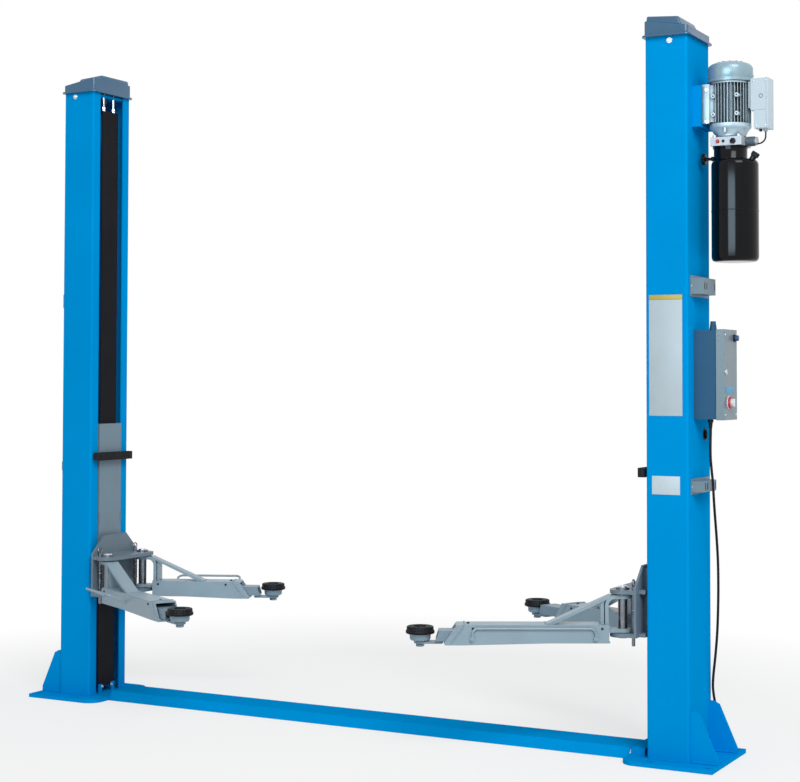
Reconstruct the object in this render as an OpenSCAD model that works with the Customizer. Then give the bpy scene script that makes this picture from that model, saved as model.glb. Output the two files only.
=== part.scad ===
// Two post car lift. Millimetres, +Z up. X runs from the left column to the right one,
// +Y to the back. The origin is on the floor, midway between the columns.

/* [Overall] */
// Clear distance between the open faces of the two columns
span = 2700; // [2500:10:2900]
// Height of the column tops above the floor
column_top = 2800; // [2600:10:3100]
// Height of the carriages at rest, to the underside of the arm bracket
carriage_low = 476; // [455:1:560]

/* [Columns] */
// Depth of a column, from its open face to its outer face
column_d = 170; // [150:1:200]
// Width of a column
column_w = 270; // [260:1:300]
// Width of each lip beside the open slot
lip_w = 50; // [40:1:55]
// Thickness of the column plate
column_t = 6; // [5:0.5:8]
// Outer bend radius of the column profile
column_r = 9; // [8.5:0.5:12]

/* [Base plates] */
// Thickness of a base plate
base_t = 16; // [12:1:20]
// Base plate overhang past the column's outer face
base_out = 115; // [100:1:130]
// Base plate overhang in front of the column's open face
base_in = 88; // [70:1:110]
// Width of a base plate
base_w = 426; // [400:2:450]
// Height of the gusset plates
gusset_h = 195; // [150:5:240]
// Thickness of the gusset plates
gusset_t = 10; // [6:1:12]
// Radius of the anchor holes
anchor_r = 10; // [8:0.5:12]

/* [Caps] */
// Height of the lower tier of a cap on its bay side
cap_low_h = 66; // [50:1:80]
// Fall of the lower tier's roof towards the outer side
cap_fall = 32; // [0:1:40]
// Height of the set back upper tier above the lower one, on the bay side
cap_high_h = 19; // [12:1:30]
// Sheet thickness of a cap
cap_t = 3; // [2:0.5:4]

/* [Carriages] */
// Width of the carriage web in the slot
carriage_w = 160; // [150:1:164]
// Height of a carriage, from bracket underside to top
carriage_h = 784; // [740:2:820]
// Thickness of the carriage plates
carriage_t = 6; // [5:1:8]
// How far the carriage web stands out of the slot
carriage_out = 7; // [5.5:0.5:12]

/* [Arm brackets] */
// Distance from the open face to the arm pins
pin_out = 99; // [95:1:115]
// Half distance between the two arm pins of a bracket
pin_half = 130; // [125:1:140]
// Radius of the arm pins
pin_r = 18.5; // [16:0.5:20]
// Height of the arm bracket between its lower and upper faces
bracket_h = 181; // [176:1:190]
// Thickness of the bracket plates
bracket_t = 15; // [12:1:16]
// Radius of the bracket lugs round the pins
lug_r = 50; // [44:1:51]

/* [Arms] */
// Height of an arm tube
tube_h = 70; // [60:1:80]
// Width of an arm tube
tube_w = 100; // [90:1:110]
// Wall of an arm tube
tube_t = 6; // [5:0.5:6]
// Length from pin to tube end on the long front arms
long_tube = 645; // [600:5:680]
// Length from pin to tube end on the short rear arms
short_tube = 466; // [440:2:500]
// Distance from the bracket pin to the near wall of the tube
tube_start = 58; // [56:1:64]
// Height of an extension bar
bar_h = 40; // [36:1:42]
// Width of an extension bar
bar_w = 80; // [70:1:82]

/* [Pads] */
// Radius of a pad
pad_r = 56; // [50:1:62]
// Height of the rubber of a pad
pad_h = 38; // [30:1:42]
// Radius of the pad stems
stem_r = 12; // [10:0.5:14]

/* [Power unit] */
// Radius of the motor body
motor_r = 80; // [70:1:88]
// Drop from the column top to the middle of the motor
motor_drop = 263; // [230:1:400]
// Radius of the oil tank
tank_r = 90; // [80:1:92]
// Height of the oil tank
tank_h = 394; // [340:2:420]

/* [Control box] */
// Drop from the column top to the underside of the control box
box_drop = 1482; // [1400:1:1600]
// Height of the control box
box_h = 343; // [300:1:380]
// Width of the control box along the column's outer face
box_w = 157; // [140:1:180]
// Depth of the control box without its door
box_d = 90; // [70:1:110]

/* [Guards] */
// Height of the floor cover between the columns
cover_h = 40; // [30:1:50]
// Width of the floor cover's flat top
cover_top_w = 155; // [120:1:180]
// Width of the floor cover at the floor
cover_foot_w = 210; // [180:1:240]
// Reach of the foot guards from the side of an arm
guard_reach = 100; // [60:2:120]

/* [Hidden] */
$fn = 48;

// Paint and finish colours
blue = [0.0, 0.57, 0.9];
cap_grey = [0.30, 0.43, 0.53];
arm_grey = [0.55, 0.64, 0.69];
web_grey = [0.43, 0.53, 0.57];
black = [0.07, 0.07, 0.08];
pale = [0.8, 0.82, 0.84];
steel = [0.75, 0.76, 0.78];

slot_half = column_w / 2 - lip_w;
base_half = base_w / 2;
// Running gap of a piece that lies on its seat
seat_gap = 0.3;

// Places a piece of one column. side is 1 on the right and -1 on the left. Local x = 0 is
// the column's open face, +x its outer side, and -x the bay between the columns.
module at_column(side) {
    mirror([side < 0 ? 1 : 0, 0, 0]) translate([span / 2, 0, 0]) children();
}

// Rectangle with rounded corners, from (x, y) with size (w, h)
module round_rect(x, y, w, h, r) {
    translate([x + r, y]) square([w - 2 * r, h]);
    translate([x, y + r]) square([w, h - 2 * r]);
    for (cx = [x + r, x + w - r], cy = [y + r, y + h - r]) translate([cx, cy]) circle(r);
}

// Upright plate standing in the x-z plane, centred on y, from a side outline
module upright(thickness) {
    rotate([90, 0, 0]) linear_extrude(height = thickness, center = true) children();
}

// Column: one bent channel with two lips beside the slot
bolt_z = column_top - 20;
bolt_x = column_d - 49;
hose_hole_z = 1256;
hose_hole_y = 66;

module column(side) {
    color(blue) at_column(side) difference() {
        translate([0, 0, base_t]) linear_extrude(height = column_top - base_t) difference() {
            round_rect(0, -column_w / 2, column_d, column_w, column_r);
            round_rect(column_t, -column_w / 2 + column_t, column_d - 2 * column_t,
                column_w - 2 * column_t, column_r - column_t + 0.5);
            translate([-1, -slot_half]) square([column_t + 3, 2 * slot_half]);
        }
        translate([column_d - column_t - 1, hose_hole_y, hose_hole_z])
            rotate([0, 90, 0]) cylinder(h = column_t + 2, r = 20);
    }
}

// Base: floor plate with rounded inner corners, two gussets behind the column, two tabs for
// the end of the belt, and on the right a low guard over the hose that leaves the floor cover
gusset_toe = base_out - 6;
gusset_nose = 22;
inner_corner = 62;
tab_h = 40;
tab_w = 24;
tab_gap = 9;
guard_half_w = 100;
guard_h = 29;
guard_sheet = 4;

module base_outline() {
    x1 = column_d + base_out;
    for (y = [-1, 1]) translate([inner_corner - base_in, y * (base_half - inner_corner)])
        circle(inner_corner);
    translate([-base_in, inner_corner - base_half])
        square([x1 + base_in, 2 * (base_half - inner_corner)]);
    translate([inner_corner - base_in, -base_half])
        square([x1 + base_in - inner_corner, 2 * base_half]);
}

module gusset() {
    upright(gusset_t) difference() {
        union() {
            translate([column_d, base_t]) square([gusset_toe, gusset_nose]);
            polygon([[column_d, base_t + gusset_nose], [column_d + gusset_toe, base_t + gusset_nose],
                [column_d + 1.7 * gusset_nose, base_t + gusset_h - gusset_nose / 2],
                [column_d + gusset_nose / 2, base_t + gusset_h], [column_d, base_t + gusset_h]]);
            translate([column_d + gusset_nose / 2, base_t + gusset_h - gusset_nose])
                circle(gusset_nose);
        }
        translate([column_d - 2 * gusset_nose, base_t])
            square([2 * gusset_nose, gusset_h + gusset_nose]);
    }
}

module hose_guard() {
    translate([-base_in + 9, 0, base_t - 0.5]) rotate([90, 0, 90])
        linear_extrude(height = base_in - 30) difference() {
            translate([-guard_half_w, 0]) square([2 * guard_half_w, guard_h + 0.5]);
            translate([guard_sheet - guard_half_w, -1])
                square([2 * (guard_half_w - guard_sheet), guard_h + 1.5 - guard_sheet]);
        }
}

anchor_mid = 0.5 * (column_d + base_out);
anchor_x = [anchor_mid - 115, anchor_mid + 115];
anchor_y = base_half - 32;

module base(side) {
    color(blue) at_column(side) {
        difference() {
            linear_extrude(height = base_t) base_outline();
            for (x = anchor_x, y = [-anchor_y, anchor_y])
                translate([x, y, -1]) cylinder(h = base_t + 2, r = anchor_r);
        }
        for (y = [-1, 1]) {
            translate([0, y * (column_w / 2 - column_r - gusset_t / 2), 0]) gusset();
            translate([belt_x - 5, y * (tab_gap + tab_w) - tab_w / 2 + y * 12, base_t - 0.5])
                cube([4.7, tab_w, tab_h]);
        }
        if (side > 0) hose_guard();
    }
}

// Cap: pressed cover with a flared rim, a roof that falls to the outer side and a smaller
// tier on top
cap_flare = 14;
cap_rim_h = 8;
cap_wall = 4;
cap_step = 14;
cap_high_fall = 9;

// Outline of the cap, grown (or shrunk) from the column's own outline
module cap_outline(grow, r) {
    round_rect(-grow, -column_w / 2 - grow, column_d + 2 * grow, column_w + 2 * grow, r);
}

// Solid under a roof that falls from high at the bay side to low at the outer side
module under_roof(grow, r, high, low) {
    intersection() {
        linear_extrude(height = high + 1) cap_outline(grow, r);
        upright(column_w + 2 * cap_flare + 2) polygon([[-grow - 1, -1], [column_d + grow + 1, -1],
            [column_d + grow + 1, low], [-grow - 1, high]]);
    }
}

module cap(side) {
    low = cap_low_h - cap_fall;
    top = cap_low_h + cap_high_h;
    color(cap_grey) at_column(side) translate([0, 0, column_top]) {
        linear_extrude(height = cap_rim_h) difference() {
            cap_outline(cap_flare, column_r + cap_flare);
            cap_outline(-column_t, column_r);
        }
        difference() {
            union() {
                under_roof(cap_wall, column_r + cap_wall, cap_low_h, low);
                under_roof(-cap_step, column_r, top, top - cap_high_fall);
            }
            translate([0, 0, -1]) {
                under_roof(cap_wall - cap_t, column_r, cap_low_h + 1 - cap_t, low + 1 - cap_t);
                under_roof(-cap_step - cap_t, column_r - 2, top + 1 - cap_t,
                    top + 1 - cap_t - cap_high_fall);
            }
        }
    }
}

// Safety lock covers: two folded boxes on the outer face of each column
lock_levels = [column_top - 1009, column_top - 1770];
lock_heights = [81, 60];
lock_out = 46;
lock_front = -106;
lock_len = 219;
lock_flange = 9;
lock_fold = 28;

module lock_plan(shrink) {
    polygon([[0, 0], [lock_out - shrink, lock_fold + shrink / 2],
        [lock_out - shrink, lock_len - 48], [0, lock_len - 34]]);
}

module lock_covers(side) {
    color(pale) at_column(side) for (i = [0, 1])
        translate([column_d, lock_front, lock_levels[i]]) {
            cube([cap_t, lock_len, lock_heights[i]]);
            difference() {
                translate([0, 0, lock_flange])
                    linear_extrude(height = lock_heights[i] - 2 * lock_flange) lock_plan(0);
                translate([0, cap_t, lock_flange + cap_t])
                    linear_extrude(height = lock_heights[i] - 2 * lock_flange - 2 * cap_t)
                        scale([1, 0.96]) lock_plan(cap_t);
            }
        }
}

// Dust belt: black cover that hangs down the slot and passes behind the carriage web
belt_x = 9;
belt_t = 3;
belt_w = 118;
belt_top = column_top - 77;
belt_bottom = base_t + 30;

module belt(side) {
    color(black) at_column(side)
        translate([belt_x, -belt_w / 2, belt_bottom]) cube([belt_t, belt_w, belt_top - belt_bottom]);
}

// Column head: cross plate under the cap that carries the rods of the lifting cables
head_t = 12;
head_z = column_top - 24;
rod_r = 6;

module head(side) {
    color(steel) at_column(side) {
        difference() {
            translate([0, 0, head_z]) linear_extrude(height = head_t)
                round_rect(column_t, -column_w / 2 + column_t, column_d - 2 * column_t,
                    column_w - 2 * column_t, column_r);
            for (y = [-24, 24]) translate([belt_x + 20, y, head_z - 1])
                cylinder(h = head_t + 2, r = rod_r);
        }
        for (y = [-24, 24]) translate([belt_x + 20, y, belt_top - 20])
            cylinder(h = column_top + 10 - belt_top + 20, r = rod_r);
        translate([belt_x + belt_t, -belt_w / 2, belt_top - 40])
            cube([8, belt_w, head_z - belt_top + 40]);
    }
}

// Floor cover: folded sheet over the hose and cables between the two columns
cover_t = 4;

module cover_section(grow) {
    polygon([[-cover_foot_w / 2 + grow, 0], [-cover_top_w / 2 + grow * 0.7, cover_h - grow],
        [cover_top_w / 2 - grow * 0.7, cover_h - grow], [cover_foot_w / 2 - grow, 0]]);
}

cover_x = span / 2 - base_in - seat_gap;

module floor_cover() {
    color(blue) translate([-cover_x, 0, 0]) rotate([90, 0, 90])
        linear_extrude(height = 2 * cover_x) difference() {
            cover_section(0);
            translate([0, -0.01]) cover_section(cover_t);
        }
}

// Power unit: bracket, motor, cowl, terminal box, pump block, tank, filler and valve knob
motor_z = column_top - motor_drop;
motor_body_h = 166;
body_z = motor_z - motor_body_h / 2;
unit_x = column_d + motor_r + 50;
foot_depth = 14;
foot_y = 45;
foot_w = 18;
unit_bracket_t = 8;
unit_bracket_w = 160;
unit_bracket_h = motor_body_h - 6;
unit_bracket_d = unit_x - motor_r - foot_depth - column_d;

module unit_bracket() {
    color(blue) at_column(1) translate([column_d, -unit_bracket_w / 2, body_z - 6]) {
        cube([unit_bracket_t, unit_bracket_w, unit_bracket_h]);
        for (y = [0, unit_bracket_w - unit_bracket_t]) translate([0, y, 0])
            cube([unit_bracket_d, unit_bracket_t, unit_bracket_h]);
        translate([unit_bracket_d - unit_bracket_t, 0, 0])
            cube([unit_bracket_t, unit_bracket_w, unit_bracket_h]);
    }
}

block_half = 62;
block_h = 34;
block_z = body_z - 83;
shield_h = 30;
fin_count = 24;
fin_depth = 7;

module motor() {
    color(pale) at_column(1) translate([unit_x, 0, 0]) {
        translate([0, 0, body_z]) cylinder(h = motor_body_h, r = motor_r - fin_depth);
        for (k = [0:fin_count - 1]) rotate([0, 0, (k + 0.5) * 360 / fin_count])
            translate([motor_r - fin_depth - 3, -1.5, body_z + 8])
                cube([fin_depth + 3, 3, motor_body_h - 16]);
        translate([0, 0, block_z + block_h]) cylinder(h = shield_h, r = motor_r - 14);
        translate([0, 0, block_z + block_h + shield_h])
            cylinder(h = body_z - block_z - block_h - shield_h + 8, r = motor_r);
        translate([0, 0, body_z + motor_body_h - 8]) cylinder(h = 8, r = motor_r);
        for (y = [-foot_y - foot_w, foot_y]) translate([-motor_r - foot_depth, y, body_z + 6])
            cube([motor_r - 20, foot_w, motor_body_h - 14]);
    }
}

cowl_h = 82;

module fan_cowl() {
    z0 = body_z + motor_body_h + seat_gap;
    color(pale) at_column(1) translate([unit_x, 0, z0]) rotate_extrude() polygon([
        [0, 0], [motor_r + 7, 0], [motor_r + 7, 52], [motor_r + 3, 62], [motor_r - 8, 71],
        [motor_r - 28, 78], [motor_r - 50, cowl_h], [0, cowl_h]]);
}

term_h = 192;
term_z = body_z - 21;
term_x = unit_x + motor_r + 11;
term_d = 67;
term_w = 76;
term_foot_h = 70;
term_recess = 12;

// Pipe and cable side of the pump block: a valve coil on its right end
coil_r = 16;
coil_len = 45;
coil_end = unit_x + block_half + coil_len;
coil_z = block_z + block_h / 2;

// The lead leaves the terminal box downwards and turns into the end of the coil
lead_r = 3;
lead_bend = 28;
lead_straight = 4;
lead_x = coil_end + seat_gap + lead_straight + lead_bend;
lead_z = coil_z - 10;
term_gland_h = 10;

module terminal_box() {
    color(pale) at_column(1) {
        translate([term_x, -term_w / 2, term_z + term_foot_h])
            cube([term_d, term_w, term_h - term_foot_h]);
        translate([term_x + term_recess, -term_w / 2, term_z])
            cube([term_d - term_recess, term_w, term_foot_h + 1]);
        translate([unit_x + motor_r + seat_gap, -term_w / 2 + 8, term_z + term_foot_h + 10])
            cube([14, term_w - 16, term_h - term_foot_h - 20]);
        translate([lead_x, 0, term_z - term_gland_h])
            cylinder(h = term_gland_h + 1, r = 2.6 * lead_r);
    }
}

module pump_block() {
    color(steel) at_column(1) {
        translate([unit_x - block_half, -block_half, block_z])
            cube([2 * block_half, 2 * block_half, block_h - seat_gap]);
        translate([unit_x + block_half - 1, 0, coil_z]) rotate([0, 90, 0])
            cylinder(h = coil_len + 1, r = coil_r);
    }
}

tank_x = unit_x + 17;
tank_top = block_z - 52;
neck_r = 64;
filler_tilt = 35;
filler_r = 12;
filler_len = 38;
filler_at = [tank_x + tank_r - 30, -22, tank_top - 24];
stem_r1 = 6;
knob_end_x = unit_x - neck_r - 12;
knob_r = 22;
knob_t = 14;
knob_stem = 24;

module at_filler() {
    translate(filler_at) rotate([0, filler_tilt, 0]) children();
}

module oil_tank() {
    color(black) at_column(1) {
        translate([tank_x, 0, 0]) rotate_extrude() polygon([
            [0, tank_top - tank_h], [tank_r - 16, tank_top - tank_h],
            [tank_r - 4, tank_top - tank_h + 5], [tank_r, tank_top - tank_h + 18],
            [tank_r, tank_top - 20], [tank_r - 5, tank_top - 7], [tank_r - 20, tank_top],
            [0, tank_top]]);
        translate([unit_x, 0, tank_top - 6]) cylinder(h = block_z - tank_top + 6 - seat_gap, r = neck_r);
        at_filler() cylinder(h = filler_len, r = filler_r);
        translate([knob_end_x, 0, tank_top + 10]) rotate([0, 90, 0])
            cylinder(h = 20, r = stem_r1 + 3);
    }
}

module filler_cap() {
    color(black) at_column(1) at_filler() translate([0, 0, filler_len + seat_gap])
        cylinder(h = 18, r = filler_r + 4);
}

module valve_knob() {
    color(black) at_column(1) translate([knob_end_x - seat_gap, 0, tank_top + 10])
        rotate([0, -90, 0]) {
            cylinder(h = knob_stem, r = stem_r1);
            translate([0, 0, knob_stem]) cylinder(h = knob_t, r = knob_r);
        }
}

// Control box on the outer face, with its door, main switch and start button
box_z = column_top - box_drop;
box_y0 = -67;
door_t = 32;
door_lap = 3;
switch_at = [57, 64];
button_at = [127, 314];
boss_x = 57;
boss_y = 67;

module control_box() {
    color(cap_grey) at_column(1) translate([column_d, box_y0, box_z]) {
        cube([box_d, box_w, box_h]);
        translate([boss_x, boss_y, box_h - 1]) cylinder(h = 37, r1 = 15, r2 = 10);
    }
}

module control_door() {
    color(arm_grey) at_column(1)
        translate([column_d + box_d, box_y0 - door_lap, box_z - door_lap])
            cube([door_t, box_w + 2 * door_lap, box_h + 2 * door_lap]);
}

// Places a control on the door's face, at [along y, up] from the box corner
module on_door(at) {
    at_column(1) translate([column_d + box_d + door_t, box_y0 + at[0], box_z + at[1]])
        rotate([0, 90, 0]) children();
}

module main_switch() {
    color("red") on_door(switch_at) cylinder(h = 24, r = 26);
}

module start_button() {
    color(blue) on_door(button_at) cylinder(h = 18, r = 14);
}

// Swept tube through a list of points, with a ring of sides at each point
function unit3(v) = v / max(norm(v), 1e-9);
function tangent(p, i) = unit3(p[min(i + 1, len(p) - 1)] - p[max(i - 1, 0)]);
module sweep(p, r, sides) {
    n = len(p);
    up = [0, 1, 0];
    pts = [for (i = [0:n - 1]) let(t = tangent(p, i), a = unit3(cross(t, up)), b = cross(t, a))
        for (k = [0:sides - 1]) p[i] + r * (cos(360 * k / sides) * a + sin(360 * k / sides) * b)];
    ends = [[for (k = [sides - 1:-1:0]) k], [for (k = [0:sides - 1]) (n - 1) * sides + k]];
    walls = [for (i = [0:n - 2], k = [0:sides - 1]) let(j = (k + 1) % sides)
        [i * sides + k, i * sides + j, (i + 1) * sides + j, (i + 1) * sides + k]];
    polyhedron(pts, concat(ends, walls));
}

// The cable from the control box runs down the outer face, over the rear gusset and down to
// a gland on the base plate. Each point is [out from the outer face, y, z].
cable_r = 5;
gland_nut_h = 12;
gland_boot_h = 24;
gland_at = [boss_x - 5, -20];
foot_gland_h = 12;
cable_rear = column_w / 2 + 7;
cable_side = 14;
cable_top = box_z - gland_nut_h - gland_boot_h - seat_gap;
cable_low = base_t + gusset_h + 104;
gusset_top = base_t + gusset_h;

// Height of a point at a share of the cable's fall, from its low bend up to its gland
function fall(share) = cable_low + share * (cable_top - cable_low);

down_route = [[gland_at[0], gland_at[1], cable_top], [gland_at[0], gland_at[1], cable_top - 18],
    [51, -19.5, cable_top - 45], [50, -18, cable_top - 80], [50, -15, cable_top - 120],
    [53, -12, cable_top - 165], [57, -9, cable_top - 215], [57.5, -6, fall(0.745)],
    [57, 4, fall(0.693)], [56, 19, fall(0.636)], [55, 40, fall(0.553)], [53, 60, fall(0.4645)],
    [48, 79, fall(0.3724)], [43, 91, fall(0.2793)], [36, 100, fall(0.1707)],
    [27, 104, fall(0.0776)], [18, 106, cable_low], [14, 111, gusset_top + 61],
    [13, 119, gusset_top + 36], [13, 127, gusset_top + 15],
    [cable_side, cable_rear - 7, gusset_top - 7], [cable_side, cable_rear - 3, gusset_top - 33],
    [cable_side, cable_rear - 0.6, gusset_top - 63], [cable_side, cable_rear, gusset_top - 101],
    [cable_side, cable_rear, gusset_top - 141],
    [cable_side, cable_rear, base_t + foot_gland_h + seat_gap]];

module cable_glands() {
    color(black) at_column(1) translate([column_d, 0, 0]) {
        translate([gland_at[0], gland_at[1], box_z - gland_nut_h - seat_gap])
            cylinder(h = gland_nut_h, r = 11);
        translate([gland_at[0], gland_at[1], cable_top + seat_gap])
            cylinder(h = gland_boot_h - seat_gap + 0.5, r1 = cable_r + 1, r2 = cable_r + 3.5);
        translate([cable_side, cable_rear, base_t]) cylinder(h = foot_gland_h, r = cable_r + 4);
    }
}

module down_cable() {
    color(black) at_column(1) translate([column_d, 0, 0]) sweep(down_route, cable_r, 8);
}

lead_arc = [for (k = [1:12]) [lead_x - lead_bend * (1 - cos(7.5 * k)), 0,
    lead_z + lead_bend * (1 - sin(7.5 * k))]];
lead_points = concat([[lead_x, 0, term_z - term_gland_h - seat_gap], [lead_x, 0, lead_z + lead_bend]],
    lead_arc, [[coil_end + seat_gap, 0, lead_z]]);

module motor_lead() {
    color(black) at_column(1) sweep(lead_points, lead_r, 8);
}

// Carriage: folded web that stands in the slot, its legs inside the column and slide blocks
carriage_z0 = carriage_low;
leg_x = column_d - column_t - 30;
block_len = 110;
block_x = column_t + seat_gap;
block_y = column_w / 2 - column_t - seat_gap;
block_d = 40;
block_cut = 5;
tie_in = 50;
tie_t = 12;

module carriage(side) {
    half = carriage_w / 2;
    color(web_grey) at_column(side) translate([0, 0, carriage_z0]) {
        linear_extrude(height = carriage_h) {
            translate([-carriage_out, -half]) square([carriage_t, carriage_w]);
            for (s = [-1, 1]) translate([-carriage_out, s > 0 ? half - carriage_t : -half])
                square([carriage_out + leg_x, carriage_t]);
        }
        for (z = [0, carriage_h - block_len], s = [0, 1]) mirror([0, s, 0]) translate([0, 0, z])
            linear_extrude(height = block_len) polygon([[block_x, half - 1],
                [block_x, block_y - block_cut], [block_x + block_cut, block_y],
                [block_x + block_d, block_y], [block_x + block_d, half - 1]]);
        for (z = [tie_in, carriage_h - tie_in]) translate([block_x + 55, -half, z])
            cube([tie_t, carriage_w, tie_t]);
    }
}

// Arm bracket: vertical plate on the web, with lower and upper lug plates for the pins
plate_x = -41;
plate_t = 10;
plate_half = 165;
lower_z = carriage_z0;
upper_z = carriage_z0 + bracket_h - bracket_t;
rod_x = -pin_out + 44;
lock_rod_r = 7;

module lug_outline() {
    translate([-pin_out - lug_r, -pin_half])
        square([lug_r + pin_out - carriage_out, 2 * pin_half]);
    for (s = [-1, 1]) translate([-pin_out, s * pin_half]) circle(lug_r);
    translate([-pin_out, -pin_half - 34]) square([pin_out + plate_x + plate_t, 2 * pin_half + 68]);
}

module bracket(side) {
    color(web_grey) at_column(side) difference() {
        union() {
            for (z = [lower_z, upper_z]) translate([0, 0, z])
                linear_extrude(height = bracket_t) lug_outline();
            translate([plate_x, 0, 0]) rotate([90, 0, 90]) linear_extrude(height = plate_t) polygon([
                [-plate_half, lower_z], [plate_half, lower_z], [plate_half, upper_z + 25],
                [carriage_w / 2, upper_z + 106], [-carriage_w / 2, upper_z + 106],
                [-plate_half, upper_z + 25]]);
            for (s = [-1, 1]) translate([plate_x, s > 0 ? 60 : -60 - plate_t, lower_z])
                cube([-carriage_out - plate_x, plate_t, bracket_h + 80]);
        }
        for (s = [-1, 1]) {
            translate([-pin_out, s * pin_half, lower_z - 1]) cylinder(h = bracket_h + 2, r = pin_r);
            translate([rod_x, s * pin_half, lower_z - 1]) cylinder(h = bracket_h + 2,
                r = lock_rod_r + seat_gap);
        }
    }
}

// Door guard: black rubber strip that wraps the carriage at door height
guard_z = 1110;
guard_out = 40;
guard_half = 130;
guard_t = 8;

module door_guard(side) {
    color(black) at_column(side) translate([0, 0, guard_z - 18]) linear_extrude(height = 36)
        difference() {
            round_rect(-guard_out, -guard_half, guard_out - carriage_out, 2 * guard_half, 12);
            round_rect(-guard_out + guard_t, -guard_half + guard_t,
                guard_out - carriage_out - 2 * guard_t, 2 * (guard_half - guard_t), 6);
        }
}

// Pins: the two upright pins of a bracket, with their heads on the upper plate
module pins(side) {
    color(steel) at_column(side) for (s = [-1, 1]) translate([-pin_out, s * pin_half, 0]) {
        translate([0, 0, lower_z - 6]) cylinder(h = bracket_h + 6, r = pin_r);
        translate([0, 0, lower_z + bracket_h]) cylinder(h = 8, r = pin_r + 8);
    }
}

// Lock rods: sprung rods beside the pins that hold the arms, with a pull ring on top
module lock_rods(side) {
    color(steel) at_column(side) for (s = [-1, 1]) translate([rod_x, s * pin_half, 0]) {
        translate([0, 0, lower_z - 36]) cylinder(h = bracket_h + 50, r = lock_rod_r);
        translate([0, 0, lower_z + bracket_t + 45]) cylinder(h = 80, r = 12);
        translate([0, 0, lower_z + bracket_h + 26]) rotate([0, 90, 0])
            rotate_extrude() translate([13, 0]) circle(3);
    }
}

// Arms. Each is drawn along +x from its pin, then turned to its place.
tube_z0 = carriage_z0 - 21;
leg_top = upper_z - 5;
leg_t = 14;
leg_w = 60;
goose_r = 40;
hub_r = 32;
pin_fit = 0.3;
nose = 50;
brace_t = 10;

brace_run = 242;
brace_slant = 3.2;
stay_x = tube_start + leg_t + 3;
wedge = 8;
guard_rod_r = 5;
guard_corner = 22;

// Strip that comes down from the upper lug in a quarter bend
module gooseneck(tube_top) {
    bend_x = tube_start + leg_t - goose_r;
    bend_z = leg_top - goose_r;
    translate([0, leg_top - leg_t]) square([bend_x, leg_t]);
    intersection() {
        difference() {
            translate([bend_x, bend_z]) circle(goose_r);
            translate([bend_x, bend_z]) circle(goose_r - leg_t);
        }
        translate([bend_x, bend_z]) square([goose_r + 1, goose_r + 1]);
    }
    translate([tube_start, tube_top - 1]) square([leg_t, bend_z - tube_top + 1]);
}

// Loop of round rod in the x-y plane, from x = 0 to its length, with rounded outer corners
module guard_loop(length, reach) {
    for (x = [0, length]) translate([x, 0, 0]) rotate([-90, 0, 0])
        cylinder(h = reach - guard_corner, r = guard_rod_r, $fn = 24);
    translate([guard_corner, reach, 0]) rotate([0, 90, 0])
        cylinder(h = length - 2 * guard_corner, r = guard_rod_r, $fn = 24);
    for (m = [0, 1]) translate([m * length, 0, 0]) mirror([m, 0, 0])
        translate([guard_corner, reach - guard_corner, 0]) rotate([0, 0, 90])
            rotate_extrude(angle = 90, $fn = 24) translate([guard_corner, 0]) circle(guard_rod_r);
}

// Foot guard on the outer side of an arm: out and tilted up, or folded against the tube
module foot_guard(start, length, folded) {
    mid_z = tube_z0 + tube_h / 2;
    if (folded) {
        translate([start, tube_w / 2 + guard_rod_r + 1, mid_z - 16]) rotate([90, 0, 0])
            guard_loop(length, 38);
        for (x = [0, length]) translate([start + x, tube_w / 2 - 2, mid_z - 16])
            rotate([-90, 0, 0]) cylinder(h = 2 * guard_rod_r + 6, r = guard_rod_r + 4, $fn = 24);
    } else {
        translate([start, tube_w / 2 - 2.5, mid_z]) rotate([guard_tilt, 0, 0])
            guard_loop(length, guard_reach);
    }
}
guard_tilt = 24;

module arm_shape(length, guard) {
    tube_top = tube_z0 + tube_h;
    brace_end = tube_start + brace_run;
    difference() {
        union() {
            upright(tube_w) polygon([[tube_start, tube_z0], [0.45 * length, tube_z0],
                [length - 30, tube_z0 - wedge], [length + nose - 4, tube_z0 - wedge],
                [length + nose, tube_z0], [length, tube_top], [tube_start, tube_top]]);
            upright(leg_w) gooseneck(tube_top);
            upright(leg_w) polygon([[tube_start - 8, leg_top], [brace_end, tube_top],
                [brace_end - brace_slant * brace_t, tube_top], [tube_start - 8, leg_top - brace_t]]);
            upright(leg_w - 14) polygon([[stay_x, tube_top - 1], [stay_x + leg_t, tube_top - 1],
                [stay_x + leg_t, leg_top - 27], [stay_x, leg_top - 20]]);
            translate([0, -leg_w / 2, lower_z + bracket_t + 2]) cube([tube_start + 2, leg_w, leg_t]);
            for (z = [lower_z + bracket_t + 2, leg_top - leg_t]) translate([0, 0, z])
                cylinder(h = leg_t, r = hub_r);
            foot_guard(guard[0], guard[1], guard[2]);
        }
        upright(tube_w - 2 * tube_t) polygon([[tube_start + 12, tube_z0 + tube_t],
            [length + nose + 40, tube_z0 + tube_t], [length + nose + 40, tube_top - tube_t],
            [tube_start + 12, tube_top - tube_t]]);
        translate([0, 0, lower_z]) cylinder(h = bracket_h, r = pin_r + pin_fit);
    }
}

// Extension bar: it slides in the arm tube, and its lower plate carries the pad stem
bar_z0 = tube_z0 + tube_t + seat_gap;
stem_z0 = tube_z0 - 19;
stem_top = tube_z0 + 52;

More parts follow.
